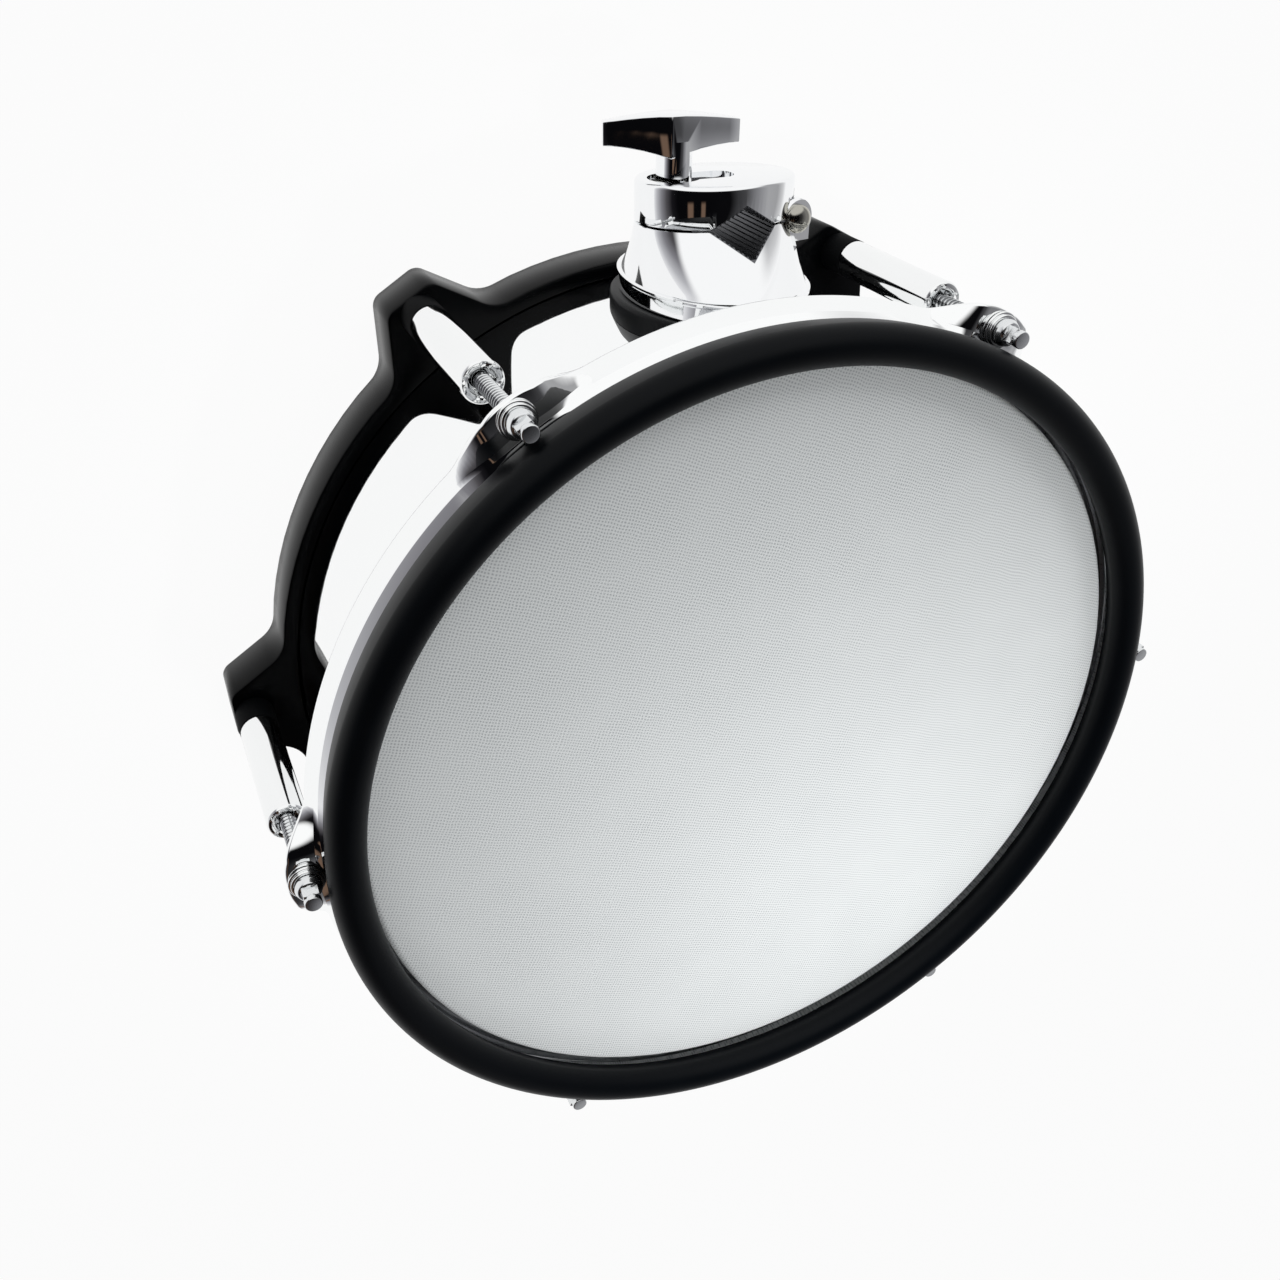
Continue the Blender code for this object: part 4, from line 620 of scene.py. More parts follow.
def hoop_corners(ear):
    """Corners of the hoop's section between ears, or through an ear."""
    def pick(plain, at_ear):
        return at_ear if ear else plain
    low = pick((163.3, 113.5), (173.2, 121.95))
    high = pick((163.7, 114.9), (173.2, EAR_TOP))
    crease = pick((161.5, 119.0), (163.0, EAR_TOP))
    bend = pick((160.5, 120.8), (160.8, 124.5))
    shoulder = pick((157.9, 124.0), (158.4, 125.3))
    brow = pick((156.2, LEDGE_TOP), (156.6, LEDGE_TOP))
    hem = pick((157.5, 117.2), (157.5, 121.0))
    heel = pick((159.6, 114.9), (159.4, 121.95))
    return [
        (*low, 0.6), (*high, 0.9), (*crease, 1.8), (*bend, 1.2), (*shoulder, 1.2), (*brow, 0.6), (155.0, LEDGE_TOP, 0.4),
        (155.0, HOOP_TOP, 0.9), (152.7, HOOP_TOP, 0.9), (152.7, LEDGE_UNDER, 1.4), (156.0, LEDGE_UNDER, 0.7),
        (*hem, 1.6), (*heel, 1.6)]


def ear_shares(across, fall):
    """How far the lip has swept up, and out, at a distance from a lug, both 0 to 1."""
    past = min(1.0, max(0.0, (across - 8.5) / fall))
    up = 1.0 - past * past * (3.0 - 2.0 * past)
    return up, up * (1.0 - 0.12 * min(1.0, across / 8.5) ** 3)


class DRUM_OT_counterhoop(DrumOperator, bpy.types.Operator):
    """Pressed steel hoop whose flared lip sweeps up to six ears"""

    bl_idname = "drum.counterhoop"
    bl_label = "Counterhoop"

    def make(self, settings):
        plain = rounded(hoop_corners(False), steps=5)
        eared = rounded(hoop_corners(True), steps=5)
        share = FULL_TURN / LUGS
        bm = bmesh.new()
        tag = bm.verts.layers.int.new("corner")
        turned(bm, plain, 5 * settings.round_steps // (2 * LUGS), tag=tag, angle=share)
        for vert in bm.verts:
            angle = math.atan2(vert.co.y, vert.co.x) - share / 2.0
            up, out = ear_shares(abs(angle) * lug_circle() / MM, settings.hoop_fall / MM)
            start, end = plain[vert[tag]], eared[vert[tag]]
            radius = (start.x + (end.x - start.x) * out) * MM
            vert.co = (radius * math.cos(angle), radius * math.sin(angle), (start.y + (end.y - start.y) * up) * MM)
        bmesh.ops.holes_fill(bm, edges=[e for e in bm.edges if e.is_boundary], sides=0)
        bmesh.ops.recalc_face_normals(bm, faces=bm.faces)
        hole = moved(rod(3.3, HOOP_LOW, HOOP_TOP, 28), Matrix.Translation((lug_circle(), 0.0, 0.0)))
        bm = carved(bm, [(moved(hole, Matrix.Rotation(0.001, 4, "Z")), "DIFFERENCE")])
        ends = [f for f in bm.faces if all(abs(abs(math.atan2(v.co.y, v.co.x)) - share / 2.0) < 1e-5 for v in f.verts)]
        bmesh.ops.delete(bm, geom=ends, context="FACES")
        bmesh.ops.spin(bm, geom=[*bm.verts, *bm.edges, *bm.faces], cent=(0, 0, 0), axis=(0, 0, 1), dvec=(0, 0, 0),
                       angle=FULL_TURN - share, steps=LUGS - 1, use_merge=False, use_normal_flip=False,
                       use_duplicate=True)
        bmesh.ops.remove_doubles(bm, verts=bm.verts, dist=2e-6)
        bmesh.ops.recalc_face_normals(bm, faces=bm.faces)
        add_piece("hoop_pressing", bm, finish("hoop_chrome"), "drum", ["counterhoop"])


# Base ring and bottom cover

def ring_outline():
    """The ring's plan: a circle with a round-cornered ear for each lug."""
    radius, tip, tip_half, root_half = 153.7, 174.3, 9.6, 23.0
    root = math.sqrt(radius ** 2 - root_half ** 2)
    half_root = math.asin(root_half / radius)
    pitch = FULL_TURN / LUGS
    margin = 13.0 / radius
    between = pitch - 2.0 * half_root - 2.0 * margin
    corners = []
    for angle in LUG_ANGLES:
        turn = Matrix.Rotation(angle, 2)
        ear = [(root, -root_half, 13.0), (tip, -tip_half, 5.5), (tip, tip_half, 5.5), (root, root_half, 13.0)]
        for x, y, fillet in ear:
            corners.append((*(turn @ Vector((x, y))), fillet))
        for i in range(11):
            a = angle + half_root + margin + between * i / 10.0
            corners.append((radius * math.cos(a), radius * math.sin(a), 0.0))
    return rounded(corners, steps=7)


def inset(points, distance):
    """A closed outline moved inwards."""
    moved_in = []
    count = len(points)
    for i, here in enumerate(points):
        along = (points[(i + 1) % count] - points[i - 1]).normalized()
        moved_in.append(here + Vector((-along.y, along.x)) * distance)
    return moved_in


def fill_between(bm, loops):
    """Fill a flat face that has holes, from its loops of edges."""
    bmesh.ops.triangle_fill(bm, use_beauty=True, edges=[e for loop in loops for e in loop])


def sink_hole(bm, loop, depth):
    """Extrude a loop of edges upwards and close it."""
    raised = bmesh.ops.extrude_edge_only(bm, edges=loop)["geom"]
    verts = [v for v in raised if isinstance(v, bmesh.types.BMVert)]
    bmesh.ops.translate(bm, verts=verts, vec=(0.0, 0.0, depth * MM))
    bmesh.ops.contextual_create(bm, geom=[e for e in raised if isinstance(e, bmesh.types.BMEdge)])


def screw_head(radius, height, slot_width=0.9):
    """A low round screw head that faces down, with a cross recess."""
    head = turned_shape([*rounded([(0.0, 0.0, 0.0), (radius, 0.0, 0.6), (radius, height, 0.1), (0.0, height, 0.0)],
                                  closed=False)], 32, ring=False)
    reach = radius * 0.55
    bars = [(block((-reach, -slot_width / 2.0, -1.0), (reach, slot_width / 2.0, height * 0.6)), "DIFFERENCE"),
            (block((-slot_width / 2.0, -reach, -1.0), (slot_width / 2.0, reach, height * 0.6)), "DIFFERENCE")]
    return carved(head, bars)


class DRUM_OT_base_ring(DrumOperator, bpy.types.Operator):
    """Black moulded ring with an ear under each lug"""

    bl_idname = "drum.base_ring"
    bl_label = "Base ring"

    def make(self, settings):
        outline = ring_outline()
        edge = 1.1
        bm = bmesh.new()
        rings = [(inset(outline, edge), 0.0), (inset(outline, edge * 0.3), edge * 0.3), (outline, edge),
                 (outline, RING_TOP - edge), (inset(outline, edge * 0.3), RING_TOP - edge * 0.3),
                 (inset(outline, edge), RING_TOP)]
        loops = [add_loop(bm, points, height) for points, height in rings]
        for lower, upper in zip(loops, loops[1:]):
            bmesh.ops.bridge_loops(bm, edges=lower + upper)
        steps = settings.round_steps
        bore = [add_loop(bm, circle_points(radius, steps), height) for radius, height in (
            (148.3, RING_TOP), (148.3, 9.0), (132.0, 9.0), (132.0, 2.8), (142.0, 2.8),
            (142.0, 0.0))]
        for upper, lower in zip(bore, bore[1:]):
            bmesh.ops.bridge_loops(bm, edges=upper + lower)
        fill_between(bm, [loops[-1], bore[0]])
        sinks = []
        for angle in LUG_ANGLES:
            centre = (lug_circle() / MM * math.cos(angle), lug_circle() / MM * math.sin(angle))
            sinks.append(add_loop(bm, circle_points(4.5, 24, centre), 0.0))
        fill_between(bm, [loops[0], bore[-1], *sinks])
        for sink in sinks:
            sink_hole(bm, sink, 4.9)
        bmesh.ops.recalc_face_normals(bm, faces=bm.faces)
        add_piece("ring_moulding", bm, finish("moulding"), "drum", ["base_ring"])
        boss = [(0.0, RING_TOP - 0.5, 0.0), (BOSS_RADIUS, RING_TOP - 0.5, 0.0), (BOSS_RADIUS, BOSS_TOP, 0.5),
                (0.0, BOSS_TOP, 0.0)]
        bosses = bmesh.new()
        for angle in LUG_ANGLES:
            one = turned_shape([tuple(p) for p in rounded(boss, closed=False)], 48, ring=False)
            place = Matrix.Rotation(angle, 4, "Z") @ Matrix.Translation((lug_circle(), 0.0, 0.0))
            bosses = joined(bosses, moved(one, place))
        add_piece("ring_bosses", bosses, finish("dull_moulding"), "drum")
        head = moved(screw_head(4.2, 3.0), Matrix.Translation((0.0, 0.0, 1.7 * MM)))
        copies_at_lugs("lug_screw_head", head, finish("zinc"), lambda n: "drum",
                       lambda n: [f"lug_screw_{n}"])


class DRUM_OT_bottom_cover(DrumOperator, bpy.types.Operator):
    """Flush cover with four countersunk screws"""

    bl_idname = "drum.bottom_cover"
    bl_label = "Bottom cover"

    def make(self, settings):
        places = []
        for i in range(4):
            low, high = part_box(f"cover_screw_{i + 1}")
            places.append((low + high) / 2.0)
        bm = bmesh.new()
        steps = settings.round_steps
        loops = [add_loop(bm, circle_points(radius, steps), height) for radius, height in (
            (141.3, 0.0), (141.7, 0.4), (141.7, 2.1), (141.3, 2.5))]
        for lower, upper in zip(loops, loops[1:]):
            bmesh.ops.bridge_loops(bm, edges=lower + upper)
        sinks = [add_loop(bm, circle_points(3.4, 20, (p.x / MM, p.y / MM)), 0.0) for p in places]
        rib = add_loop(bm, circle_points(96.0, steps), 0.0)
        rib_in = add_loop(bm, circle_points(95.2, steps), 0.4)
        rib_out = add_loop(bm, circle_points(94.4, steps), 0.0)
        fill_between(bm, [loops[0], rib, *sinks])
        bmesh.ops.bridge_loops(bm, edges=rib + rib_in)
        bmesh.ops.bridge_loops(bm, edges=rib_in + rib_out)
        bmesh.ops.contextual_create(bm, geom=rib_out)
        bmesh.ops.contextual_create(bm, geom=loops[-1])
        for sink in sinks:
            sink_hole(bm, sink, 2.0)
        bmesh.ops.recalc_face_normals(bm, faces=bm.faces)
        add_piece("cover_moulding", bm, finish("moulding"), "drum", ["bottom_cover"])
        for number, place in enumerate(places, start=1):
            head = screw_head(3.0, 1.5, 0.7)
            add_piece(f"cover_screw_head_{number}", head, finish("zinc"), "drum",
                      [f"cover_screw_{number}"], matrix=Matrix.Translation((place.x, place.y, 0.3 * MM)))


# Lugs

def threaded_shank(root, crest, low, high, pitch, steps=18):
    """A threaded shank: one turn's tooth carried round and up."""
    bm = bmesh.new()
    turns = int((high - low) / pitch)
    teeth = [(root, 0.0), (crest, pitch * 0.38), (crest, pitch * 0.5), (root, pitch * 0.88)]
    verts = [bm.verts.new((x * MM, 0.0, (low + z) * MM)) for x, z in (*teeth, (root, pitch))]
    edges = [bm.edges.new(pair) for pair in zip(verts, verts[1:])]
    bmesh.ops.spin(bm, geom=verts + edges, cent=(0, 0, 0), axis=(0, 0, 1), dvec=(0.0, 0.0, pitch / steps * MM),
                   angle=FULL_TURN * turns, steps=steps * turns, use_merge=False, use_normal_flip=False,
                   use_duplicate=False)
    bmesh.ops.remove_doubles(bm, verts=bm.verts, dist=1e-6)
    bmesh.ops.holes_fill(bm, edges=[e for e in bm.edges if e.is_boundary], sides=0)
    bmesh.ops.recalc_face_normals(bm, faces=bm.faces)
    return bm


class DRUM_OT_lug_tubes(DrumOperator, bpy.types.Operator):
    """Chromed lug tubes with a crimped threaded insert"""

    bl_idname = "drum.lug_tubes"
    bl_label = "Lug tubes"

    def make(self, settings):
        floor = 52.0
        profile = rounded([
            (0.0, floor, 0.0), (3.05, floor, 0.0), (3.05, TUBE_TOP - 5.0, 0.3), (4.3, TUBE_TOP - 5.0, 0.0),
            (4.3, TUBE_TOP - 0.5, 0.35), (5.0, TUBE_TOP - 0.12, 0.3), (5.7, TUBE_TOP, 0.6), (6.6, TUBE_TOP - 0.15, 0.5),
            (TUBE_RADIUS, TUBE_TOP - 1.0, 0.6), (TUBE_RADIUS, TUBE_FOOT, 0.3), (0.0, TUBE_FOOT, 0.0)], closed=False)
        bm = turned_shape(profile, 48, ring=False)
        for vert in bm.verts:
            radius = math.hypot(vert.co.x, vert.co.y) / MM
            sector = math.atan2(vert.co.y, vert.co.x) % (math.pi / 2.0) - math.pi / 4.0
            if vert.co.z > (TUBE_TOP - 1.2) * MM and radius < 6.7 and abs(sector) < 0.24:
                vert.co.z -= 0.7 * MM * (1.0 - abs(sector) / 0.32)
        copies_at_lugs("lug_sleeve", bm, finish("lug_chrome"), lambda n: "drum",
                       lambda n: [f"lug_tube_{n}"])


class DRUM_OT_tension_rods(DrumOperator, bpy.types.Operator):
    """Tension rods with a rolled thread, a domed collar and a square key end, and their washers"""

    bl_idname = "drum.tension_rods"
    bl_label = "Tension rods"

    def make(self, settings):
        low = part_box("tension_rod_1")[0].z / MM
        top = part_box("tension_rod_1")[1].z / MM
        washer_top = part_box("rod_washer_1")[1].z / MM
        collar = washer_top + 0.3
        key = collar + 3.2
        pitch = settings.thread_pitch / MM
        thread = threaded_shank(2.4, 2.95, low, collar - 1.0, pitch)
        collar_shape = turned_shape([tuple(p) for p in rounded([
            (0.0, key + 1.0, 0.0), (2.9, key + 1.0, 0.0), (2.9, key + 0.2, 0.2), (3.9, key - 0.1, 0.8),
            (4.6, collar + 1.4, 0.9), (4.6, collar, 0.3), (2.7, collar, 0.0), (2.7, collar - 2.4, 0.0),
            (0.0, collar - 2.4, 0.0)], closed=False)], 40, ring=False)
        half = 2.7
        square = block((-half, -half, key - 0.4), (half, half, top - 1.9))
        bmesh.ops.bevel(square, geom=list(square.edges), offset=0.35 * MM, offset_type="OFFSET", segments=3,
                        profile=0.5, affect="EDGES", material=-1)
        end = turned_shape([tuple(p) for p in rounded([
            (0.0, top, 0.0), (2.9, top, 0.45), (2.9, top - 2.4, 0.4), (0.0, top - 2.4, 0.0)], closed=False)],
            40, ring=False)
        shape = joined(thread, collar_shape, square, end)
        copies_at_lugs("rod", shape, finish("rod_chrome"), lambda n: f"rod_{n}",
                       lambda n: [f"tension_rod_{n}"])
        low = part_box("rod_washer_1")[0].z / MM
        middle = (low + washer_top) / 2.0
        lower = [(3.05, low, 0.1), (6.2, low, 0.35), (6.2, middle - 0.05, 0.35), (3.05, middle - 0.05, 0.1)]
        upper = [(3.05, middle, 0.1), (5.5, middle, 0.35), (5.5, washer_top, 0.35), (3.05, washer_top, 0.1)]
        pair = turned_shape([tuple(p) for p in rounded(lower, 3)], 40)
        pair = joined(pair, turned_shape([tuple(p) for p in rounded(upper, 3)], 40))
        copies_at_lugs("washers", pair, finish("lug_chrome"), lambda n: f"rod_{n}_washers",
                       lambda n: [f"rod_washer_{n}"])


# Rod clamp

def groove_bar():
    """A bar whose section is the rod's diamond, with serrated flanks."""
    corners = [Vector((GROOVE_X - GROOVE_HALF, HINGE_Y)), Vector((GROOVE_X - 1.2, GROOVE_LAND)),
               Vector((GROOVE_X + 1.2, GROOVE_LAND)), Vector((GROOVE_X + GROOVE_HALF, HINGE_Y)),
               Vector((GROOVE_X, GROOVE_APEX))]
    points = []
    for start, end in zip(corners, corners[1:] + corners[:1]):
        along = end - start
        out = Vector((along.y, -along.x)).normalized()
        teeth = 9 if along.length > 5.0 else 0
        if not teeth:
            points.append(start)
        for i in range(teeth):
            points.append(start + along * (i / teeth))
            points.append(start + along * ((i + 0.5) / teeth) - out * 0.55)
    return lofted([(points, -90.0), (points, 90.0)])


def about_hinge(bm):
    """Move a shape made on the Z axis to the hinge axis."""
    return moved(bm, Matrix.Translation((HINGE_X * MM, HINGE_Y * MM, 0.0)))


def oval_stack(sections, count=112):
    """A solid through ovals, each (distance from the drum's axis, half width, half length)."""
    loops = [(oval_points(wide, long, count), height) for height, wide, long in sections]
    return moved(lofted(loops), Matrix.Rotation(-math.pi / 2.0, 4, "X"))


def rod_out(radius, low, high, x=0.0, z=0.0, count=40):
    """A cylinder that points away from the shell."""
    return moved(rod(radius, low, high, count), upright(x, z))


def cheek_barrel(side):
    """One round cheek of the lower jaw, chamfered at its outer end."""
    return turned_shape([(0.0, side * 6.3), (6.3, side * 6.3), (6.3, side * 11.5), (5.0, side * 12.8),
                         (0.0, side * 12.8)], 48, ring=False)


def cheek_slope(side):
    """A block that planes a cheek's outer face so that it falls away from the groove."""
    low, high = sorted((0.0, side * 12.0))
    tool = block((0.0, -9.0, low), (16.0, 9.0, high))
    lean = Matrix.Rotation(side * math.radians(11.0), 4, "Y")
    return moved(tool, Matrix.Translation((20.6 * MM, HINGE_Y * MM, side * 12.8 * MM)) @ lean)


class DRUM_OT_clamp_saddle(DrumOperator, bpy.types.Operator):
    """Rubber saddle hollowed to the shell"""

    bl_idname = "drum.clamp_saddle"
    bl_label = "Clamp saddle"

    def make(self, settings):
        blank = oval_stack([(114.0, 32.6, 42.4), (150.8, 32.6, 42.4), (151.6, 32.4, 42.2), (152.1, 31.9, 41.7),
                            (SADDLE_TOP, 31.2, 41.0)])
        shape = carved(blank, [(rod(148.15, -60.0, 90.0, 1440), "DIFFERENCE")])
        add_piece("saddle_pad", shape, finish("rubber"), "drum", ["clamp_saddle"], matrix=on_clamp())


class DRUM_OT_clamp_base(DrumOperator, bpy.types.Operator):
    """Cast lower jaw: plinth, lip and waist, with a serrated groove"""

    bl_idname = "drum.clamp_base"
    bl_label = "Clamp lower jaw"

    def make(self, settings):
        wide, long = 29.95, 41.0
        sections = [(CLAMP_FOOT, 29.0, 39.4), (CLAMP_FOOT + 0.3, 29.3, 39.7), (157.6, 29.3, 39.7),
                    (158.0, wide - 0.3, long - 0.5), (158.3, wide, long), (159.0, wide, long),
                    (159.3, wide - 0.35, long - 0.5)]
        for share in (0.0, 0.06, 0.13, 0.22, 0.32, 0.43, 0.55, 0.68, 0.82, 0.96):
            fade = 0.62 * (1.0 - share) + 0.38 * (1.0 - share) ** 2
            sections.append((159.45 + 17.4 * share, 27.5 + (wide - 0.9 - 27.5) * fade, 19.2 + (38.2 - 19.2) * fade))
        sections += [(PARTING - 0.15, 27.35, 19.05), (PARTING, 27.1, 18.8)]
        tools = [(groove_bar(), "DIFFERENCE")]
        for side in (-1.0, 1.0):
            low, high = sorted((side * 6.3, side * 12.8))
            tools.append((about_hinge(cheek_barrel(side)), "UNION"))
            tools.append((block((HINGE_X - 6.3, PARTING - 7.0, low), (HINGE_X + 5.6, HINGE_Y, high)), "UNION"))
            tools.append((cheek_slope(side), "DIFFERENCE"))
        tools.append((about_hinge(rod(6.9, -6.34, 6.34, 48)), "DIFFERENCE"))
        tools.append((block((HINGE_X - 6.84, HINGE_Y - 0.5, -6.36), (HINGE_X + 19.0, CAP_TOP, 6.36)), "DIFFERENCE"))
        for side in (-1.0, 1.0):
            low, high = sorted((side * 12.8, side * 32.0))
            tools.append((about_hinge(rod(4.9, low, high, 40)), "DIFFERENCE"))
        tools.append((rod_out(3.3, 162.0, CAP_TOP, WING_X), "DIFFERENCE"))
        shape = carved(oval_stack(sections), tools)
        add_piece("jaw_casting", shape, finish("cast_chrome"), "drum", ["clamp_base"],
                  sharp=30.0, matrix=on_clamp())


class DRUM_OT_clamp_cap(DrumOperator, bpy.types.Operator):
    """Cast upper jaw on the hinge pin, slotted and recessed for the wing screw"""

    bl_idname = "drum.clamp_cap"
    bl_label = "Clamp cap"

    def make(self, settings):
        sections = [(CAP_BOTTOM, 27.1, 18.8), (CAP_BOTTOM + 0.15, 27.35, 19.05), (CAP_BOTTOM + 0.5, 27.5, 19.2),
                    (CAP_TOP - 1.2, 27.5, 19.2), (CAP_TOP - 0.6, 27.3, 19.0), (CAP_TOP - 0.2, 26.9, 18.6),
                    (CAP_TOP, 26.2, 17.9)]
        tools = [(groove_bar(), "DIFFERENCE"), (about_hinge(rod(6.3, -6.0, 6.0, 48)), "UNION")]
        for side in (-1.0, 1.0):
            low, high = sorted((side * 6.0, side * 13.1))
            tools.append((about_hinge(rod(6.9, low, high, 48)), "DIFFERENCE"))
            tools.append((block((HINGE_X, CAP_BOTTOM - 0.3, low), (HINGE_X * 2.0, CAP_TOP - 4.33, high)), "DIFFERENCE"))
            low, high = sorted((side * 12.8, side * 32.0))
            tools.append((about_hinge(rod(4.9, low, high, 40)), "DIFFERENCE"))
        floor = CAP_TOP - 4.0
        for shift in (-2.6, 2.6):
            tools.append((rod_out(3.3, CAP_BOTTOM - 1.0, CAP_TOP + 1.0, WING_X + shift), "DIFFERENCE"))
            tools.append((rod_out(7.4, floor, CAP_TOP + 1.0, WING_X + shift / 2.0, count=56), "DIFFERENCE"))
        tools.append((block((WING_X - 2.6, CAP_BOTTOM - 1.0, -3.3), (WING_X + 2.6, CAP_TOP + 1.0, 3.3)), "DIFFERENCE"))
        tools.append((rod_out(5.0, CAP_TOP - 2.0, CAP_TOP + 1.0, 1.0, count=56), "DIFFERENCE"))
        tools.append((block((WING_X, CAP_TOP - 2.0, -5.0), (1.0, CAP_TOP + 1.0, 5.0)), "DIFFERENCE"))
        shape = carved(oval_stack(sections), tools)
        add_piece("cap_casting", shape, finish("cast_chrome"), "cap", ["clamp_cap"],
                  sharp=30.0, matrix=on_clamp())


class DRUM_OT_hinge_pin(DrumOperator, bpy.types.Operator):
    """Nickel-plated hinge pin with domed ends"""

    bl_idname = "drum.hinge_pin"
    bl_label = "Hinge pin"

    def make(self, settings):
        arc = [math.pi / 2.0 * (1.0 - i / 10.0) for i in range(11)]
        dome = [(4.6 * math.cos(a), 12.9 + 2.4 * math.sin(a)) for a in arc]
        half = [(0.0, 15.3), *dome[1:], (4.6, 10.8), (2.5, 10.8)]
        profile = half + [(r, -z) for r, z in reversed(half)]
        add_piece("hinge_rivet", turned_shape(profile, 40, ring=False), finish("nickel"), "drum",
                  ["hinge_pin"], matrix=on_clamp(Matrix.Translation((HINGE_X * MM, HINGE_Y * MM, 0.0))))


class DRUM_OT_wing_screw(DrumOperator, bpy.types.Operator):
    """Wing screw with tapered arms, a ridge and a threaded stud, and its washer"""

    bl_idname = "drum.wing_screw"
    bl_label = "Wing screw"

    def make(self, settings):
        base = 197.5
        stations = [(-21.3, 2.2), (-18.0, 2.8), (-14.0, 3.5), (-9.0, 4.4), (-4.0, 5.3), (0.0, 6.0),
                    (4.0, 5.3), (9.0, 4.4), (14.0, 3.5), (18.0, 2.8), (21.3, 2.2)]
        loops = []
        for x, depth in stations:
            share = abs(x) / 21.3
            low = base + 3.5 * (1.0 - (1.0 - share) ** 2)
            high = base + 12.8 - 2.3 * share ** 1.6
            loops.append(([(low, -depth), (low, depth), (high, depth), (high, -depth)], x))
        wings = lofted(loops)
        moved(wings, Matrix(((0, 0, 1, 0), (0, 1, 0, 0), (1, 0, 0, 0), (0, 0, 0, 1))))
        bmesh.ops.recalc_face_normals(wings, faces=wings.faces)
        long_edges = [e for e in wings.edges if abs(e.verts[0].co.x - e.verts[1].co.x) > 1e-5
                      or abs(abs(e.verts[0].co.x) - 21.3 * MM) < 1e-5 or abs(e.verts[0].co.x) < 1e-6]
        ridges = {-1: (-3.4, -5.5), 1: (0.4, 5.9)}
        ends = {(-1, -1): (-22.7, 4.2), (-1, 1): (-21.5, 8.45), (1, -1): (21.1, -3.68), (1, 1): (21.4, 0.7)}
        for vert in wings.verts:
            face = -1 if vert.co.y < 0.0 else 1
            share = abs(vert.co.x) / (21.3 * MM)
            end = ends[(-1 if vert.co.x < 0.0 else 1, face)]
            vert.co.xy = Vector(ridges[face]).lerp(Vector(end), share) * MM
        bmesh.ops.bevel(wings, geom=long_edges, offset=0.35 * MM, offset_type="OFFSET", segments=2, profile=0.5,
                        affect="EDGES", material=-1)
        sleeve = turned_shape([tuple(p) for p in rounded([
            (0.0, base + 5.0, 0.0), (5.8, base + 5.0, 0.0), (5.8, 188.5, 0.4), (2.6, 188.5, 0.0), (2.6, 187.0, 0.0),
            (0.0, 187.0, 0.0)], closed=False)], 48, ring=False)
        stud = threaded_shank(2.6, 3.0, 162.4, 188.4, 1.25, 20)
        shape = joined(carved(wings, [(sleeve, "UNION")]), stud)
        add_piece("wing_lever", shape, finish("cast_chrome"), "wing", ["wing_screw"],
                  sharp=30.0, matrix=on_clamp(upright(WING_X)))
        washer = rounded([(3.3, 187.2, 0.1), (6.0, 187.2, 0.3), (6.0, 188.2, 0.3), (3.3, 188.2, 0.1)], 3)
        add_piece("wing_flat_washer", turned_shape([tuple(p) for p in washer], 48), finish("zinc"),
                  "wing_screw_washer", ["wing_washer"], matrix=on_clamp(upright(WING_X)))


# Output jack

class DRUM_OT_jack(DrumOperator, bpy.types.Operator):
    """Quarter-inch output jack with its hexagonal nut"""

    bl_idname = "drum.jack"
    bl_label = "Output jack"

    def make(self, settings):
        place = Matrix.Rotation(math.pi, 4, "Z") @ Matrix.Translation((0.0, 0.0, 15.9 * MM))
        place = place @ Matrix.Rotation(-math.pi / 2.0, 4, "X")
        bush = turned_shape([tuple(p) for p in rounded([
            (0.0, 127.6, 0.0), (3.3, 127.6, 0.0), (3.3, 157.6, 0.4), (4.7, 157.6, 0.5), (4.7, 140.0, 0.0),
            (6.2, 140.0, 0.3), (6.2, 122.4, 0.3), (0.0, 122.4, 0.0)], closed=False)], 48, ring=False)
        add_piece("jack_bush", bush, finish("jack_plastic"), "drum", ["jack_body"], matrix=place)
        count = 48
        corners = [Vector(p) for p in circle_points(7.4, 6)]
        hexagon = []
        for start, end in zip(corners, corners[1:] + corners[:1]):
            hexagon += [start.lerp(end, k / 8.0) for k in range(8)]
        chamfer = [p.normalized() * min(p.length, 6.7) for p in hexagon]
        bore = circle_points(5.0, count)
        loops = [(bore, 154.0), (chamfer, 154.0), (hexagon, 154.35), (hexagon, 156.05), (chamfer, 156.4), (bore, 156.4)]
        bm = lofted(loops, capped=False)
        rings = [e for e in bm.edges if e.is_boundary]
        bmesh.ops.bridge_loops(bm, edges=rings)
        bmesh.ops.recalc_face_normals(bm, faces=bm.faces)
        add_piece("jack_hex_nut", bm, finish("zinc"), "drum", ["jack_nut"], matrix=place, sharp=25.0)


class DRUM_OT_inner_parts(DrumOperator, bpy.types.Operator):
    """Finishes of the sensors, bridge, leads and fixings inside the shell"""

    bl_idname = "drum.inner_parts"
    bl_label = "Inner parts"

    def make(self, settings):
        wanted = {
            "zinc": ["sensor_bridge", "bridge_screw_1", "bridge_screw_2", "backing_plate", "clamp_bolt_1",
                     "clamp_bolt_2"],
            "foam": ["foam_cone", "piezo_pad"],
            "brass": ["head_piezo", "rim_piezo"],
            "sheath": ["head_lead", "rim_lead"],
        }
        for name, nodes in wanted.items():
            for node in nodes:
                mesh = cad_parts[node].data
                mesh.materials.clear()
                mesh.materials.append(finish(name))


# Stage

# Painted reflections: the studio as mirrors see it, (height from 0 at the horizon to 1 overhead, colour), left and
# right
LEFT_WALL = ((0.0, "#e8e8ea"), (0.12, "#b8b8bc"), (0.28, "#828186"), (0.44, "#4e4c4f"), (0.58, "#18171a"),
             (0.7, "#08080a"))
RIGHT_WALL = ((0.0, "#ffffff"), (0.12, "#cfcfd0"), (0.3, "#a0a0a2"), (0.53, "#a5a5a7"), (0.66, "#8f8f92"),
              (0.77, "#747477"), (0.86, "#434345"), (0.92, "#363638"), (0.965, "#0a0a0c"))
# Direction of the white patch painted on the dome, a painted reflection of a bright window
WINDOW = (0.05, 0.86, 0.51)
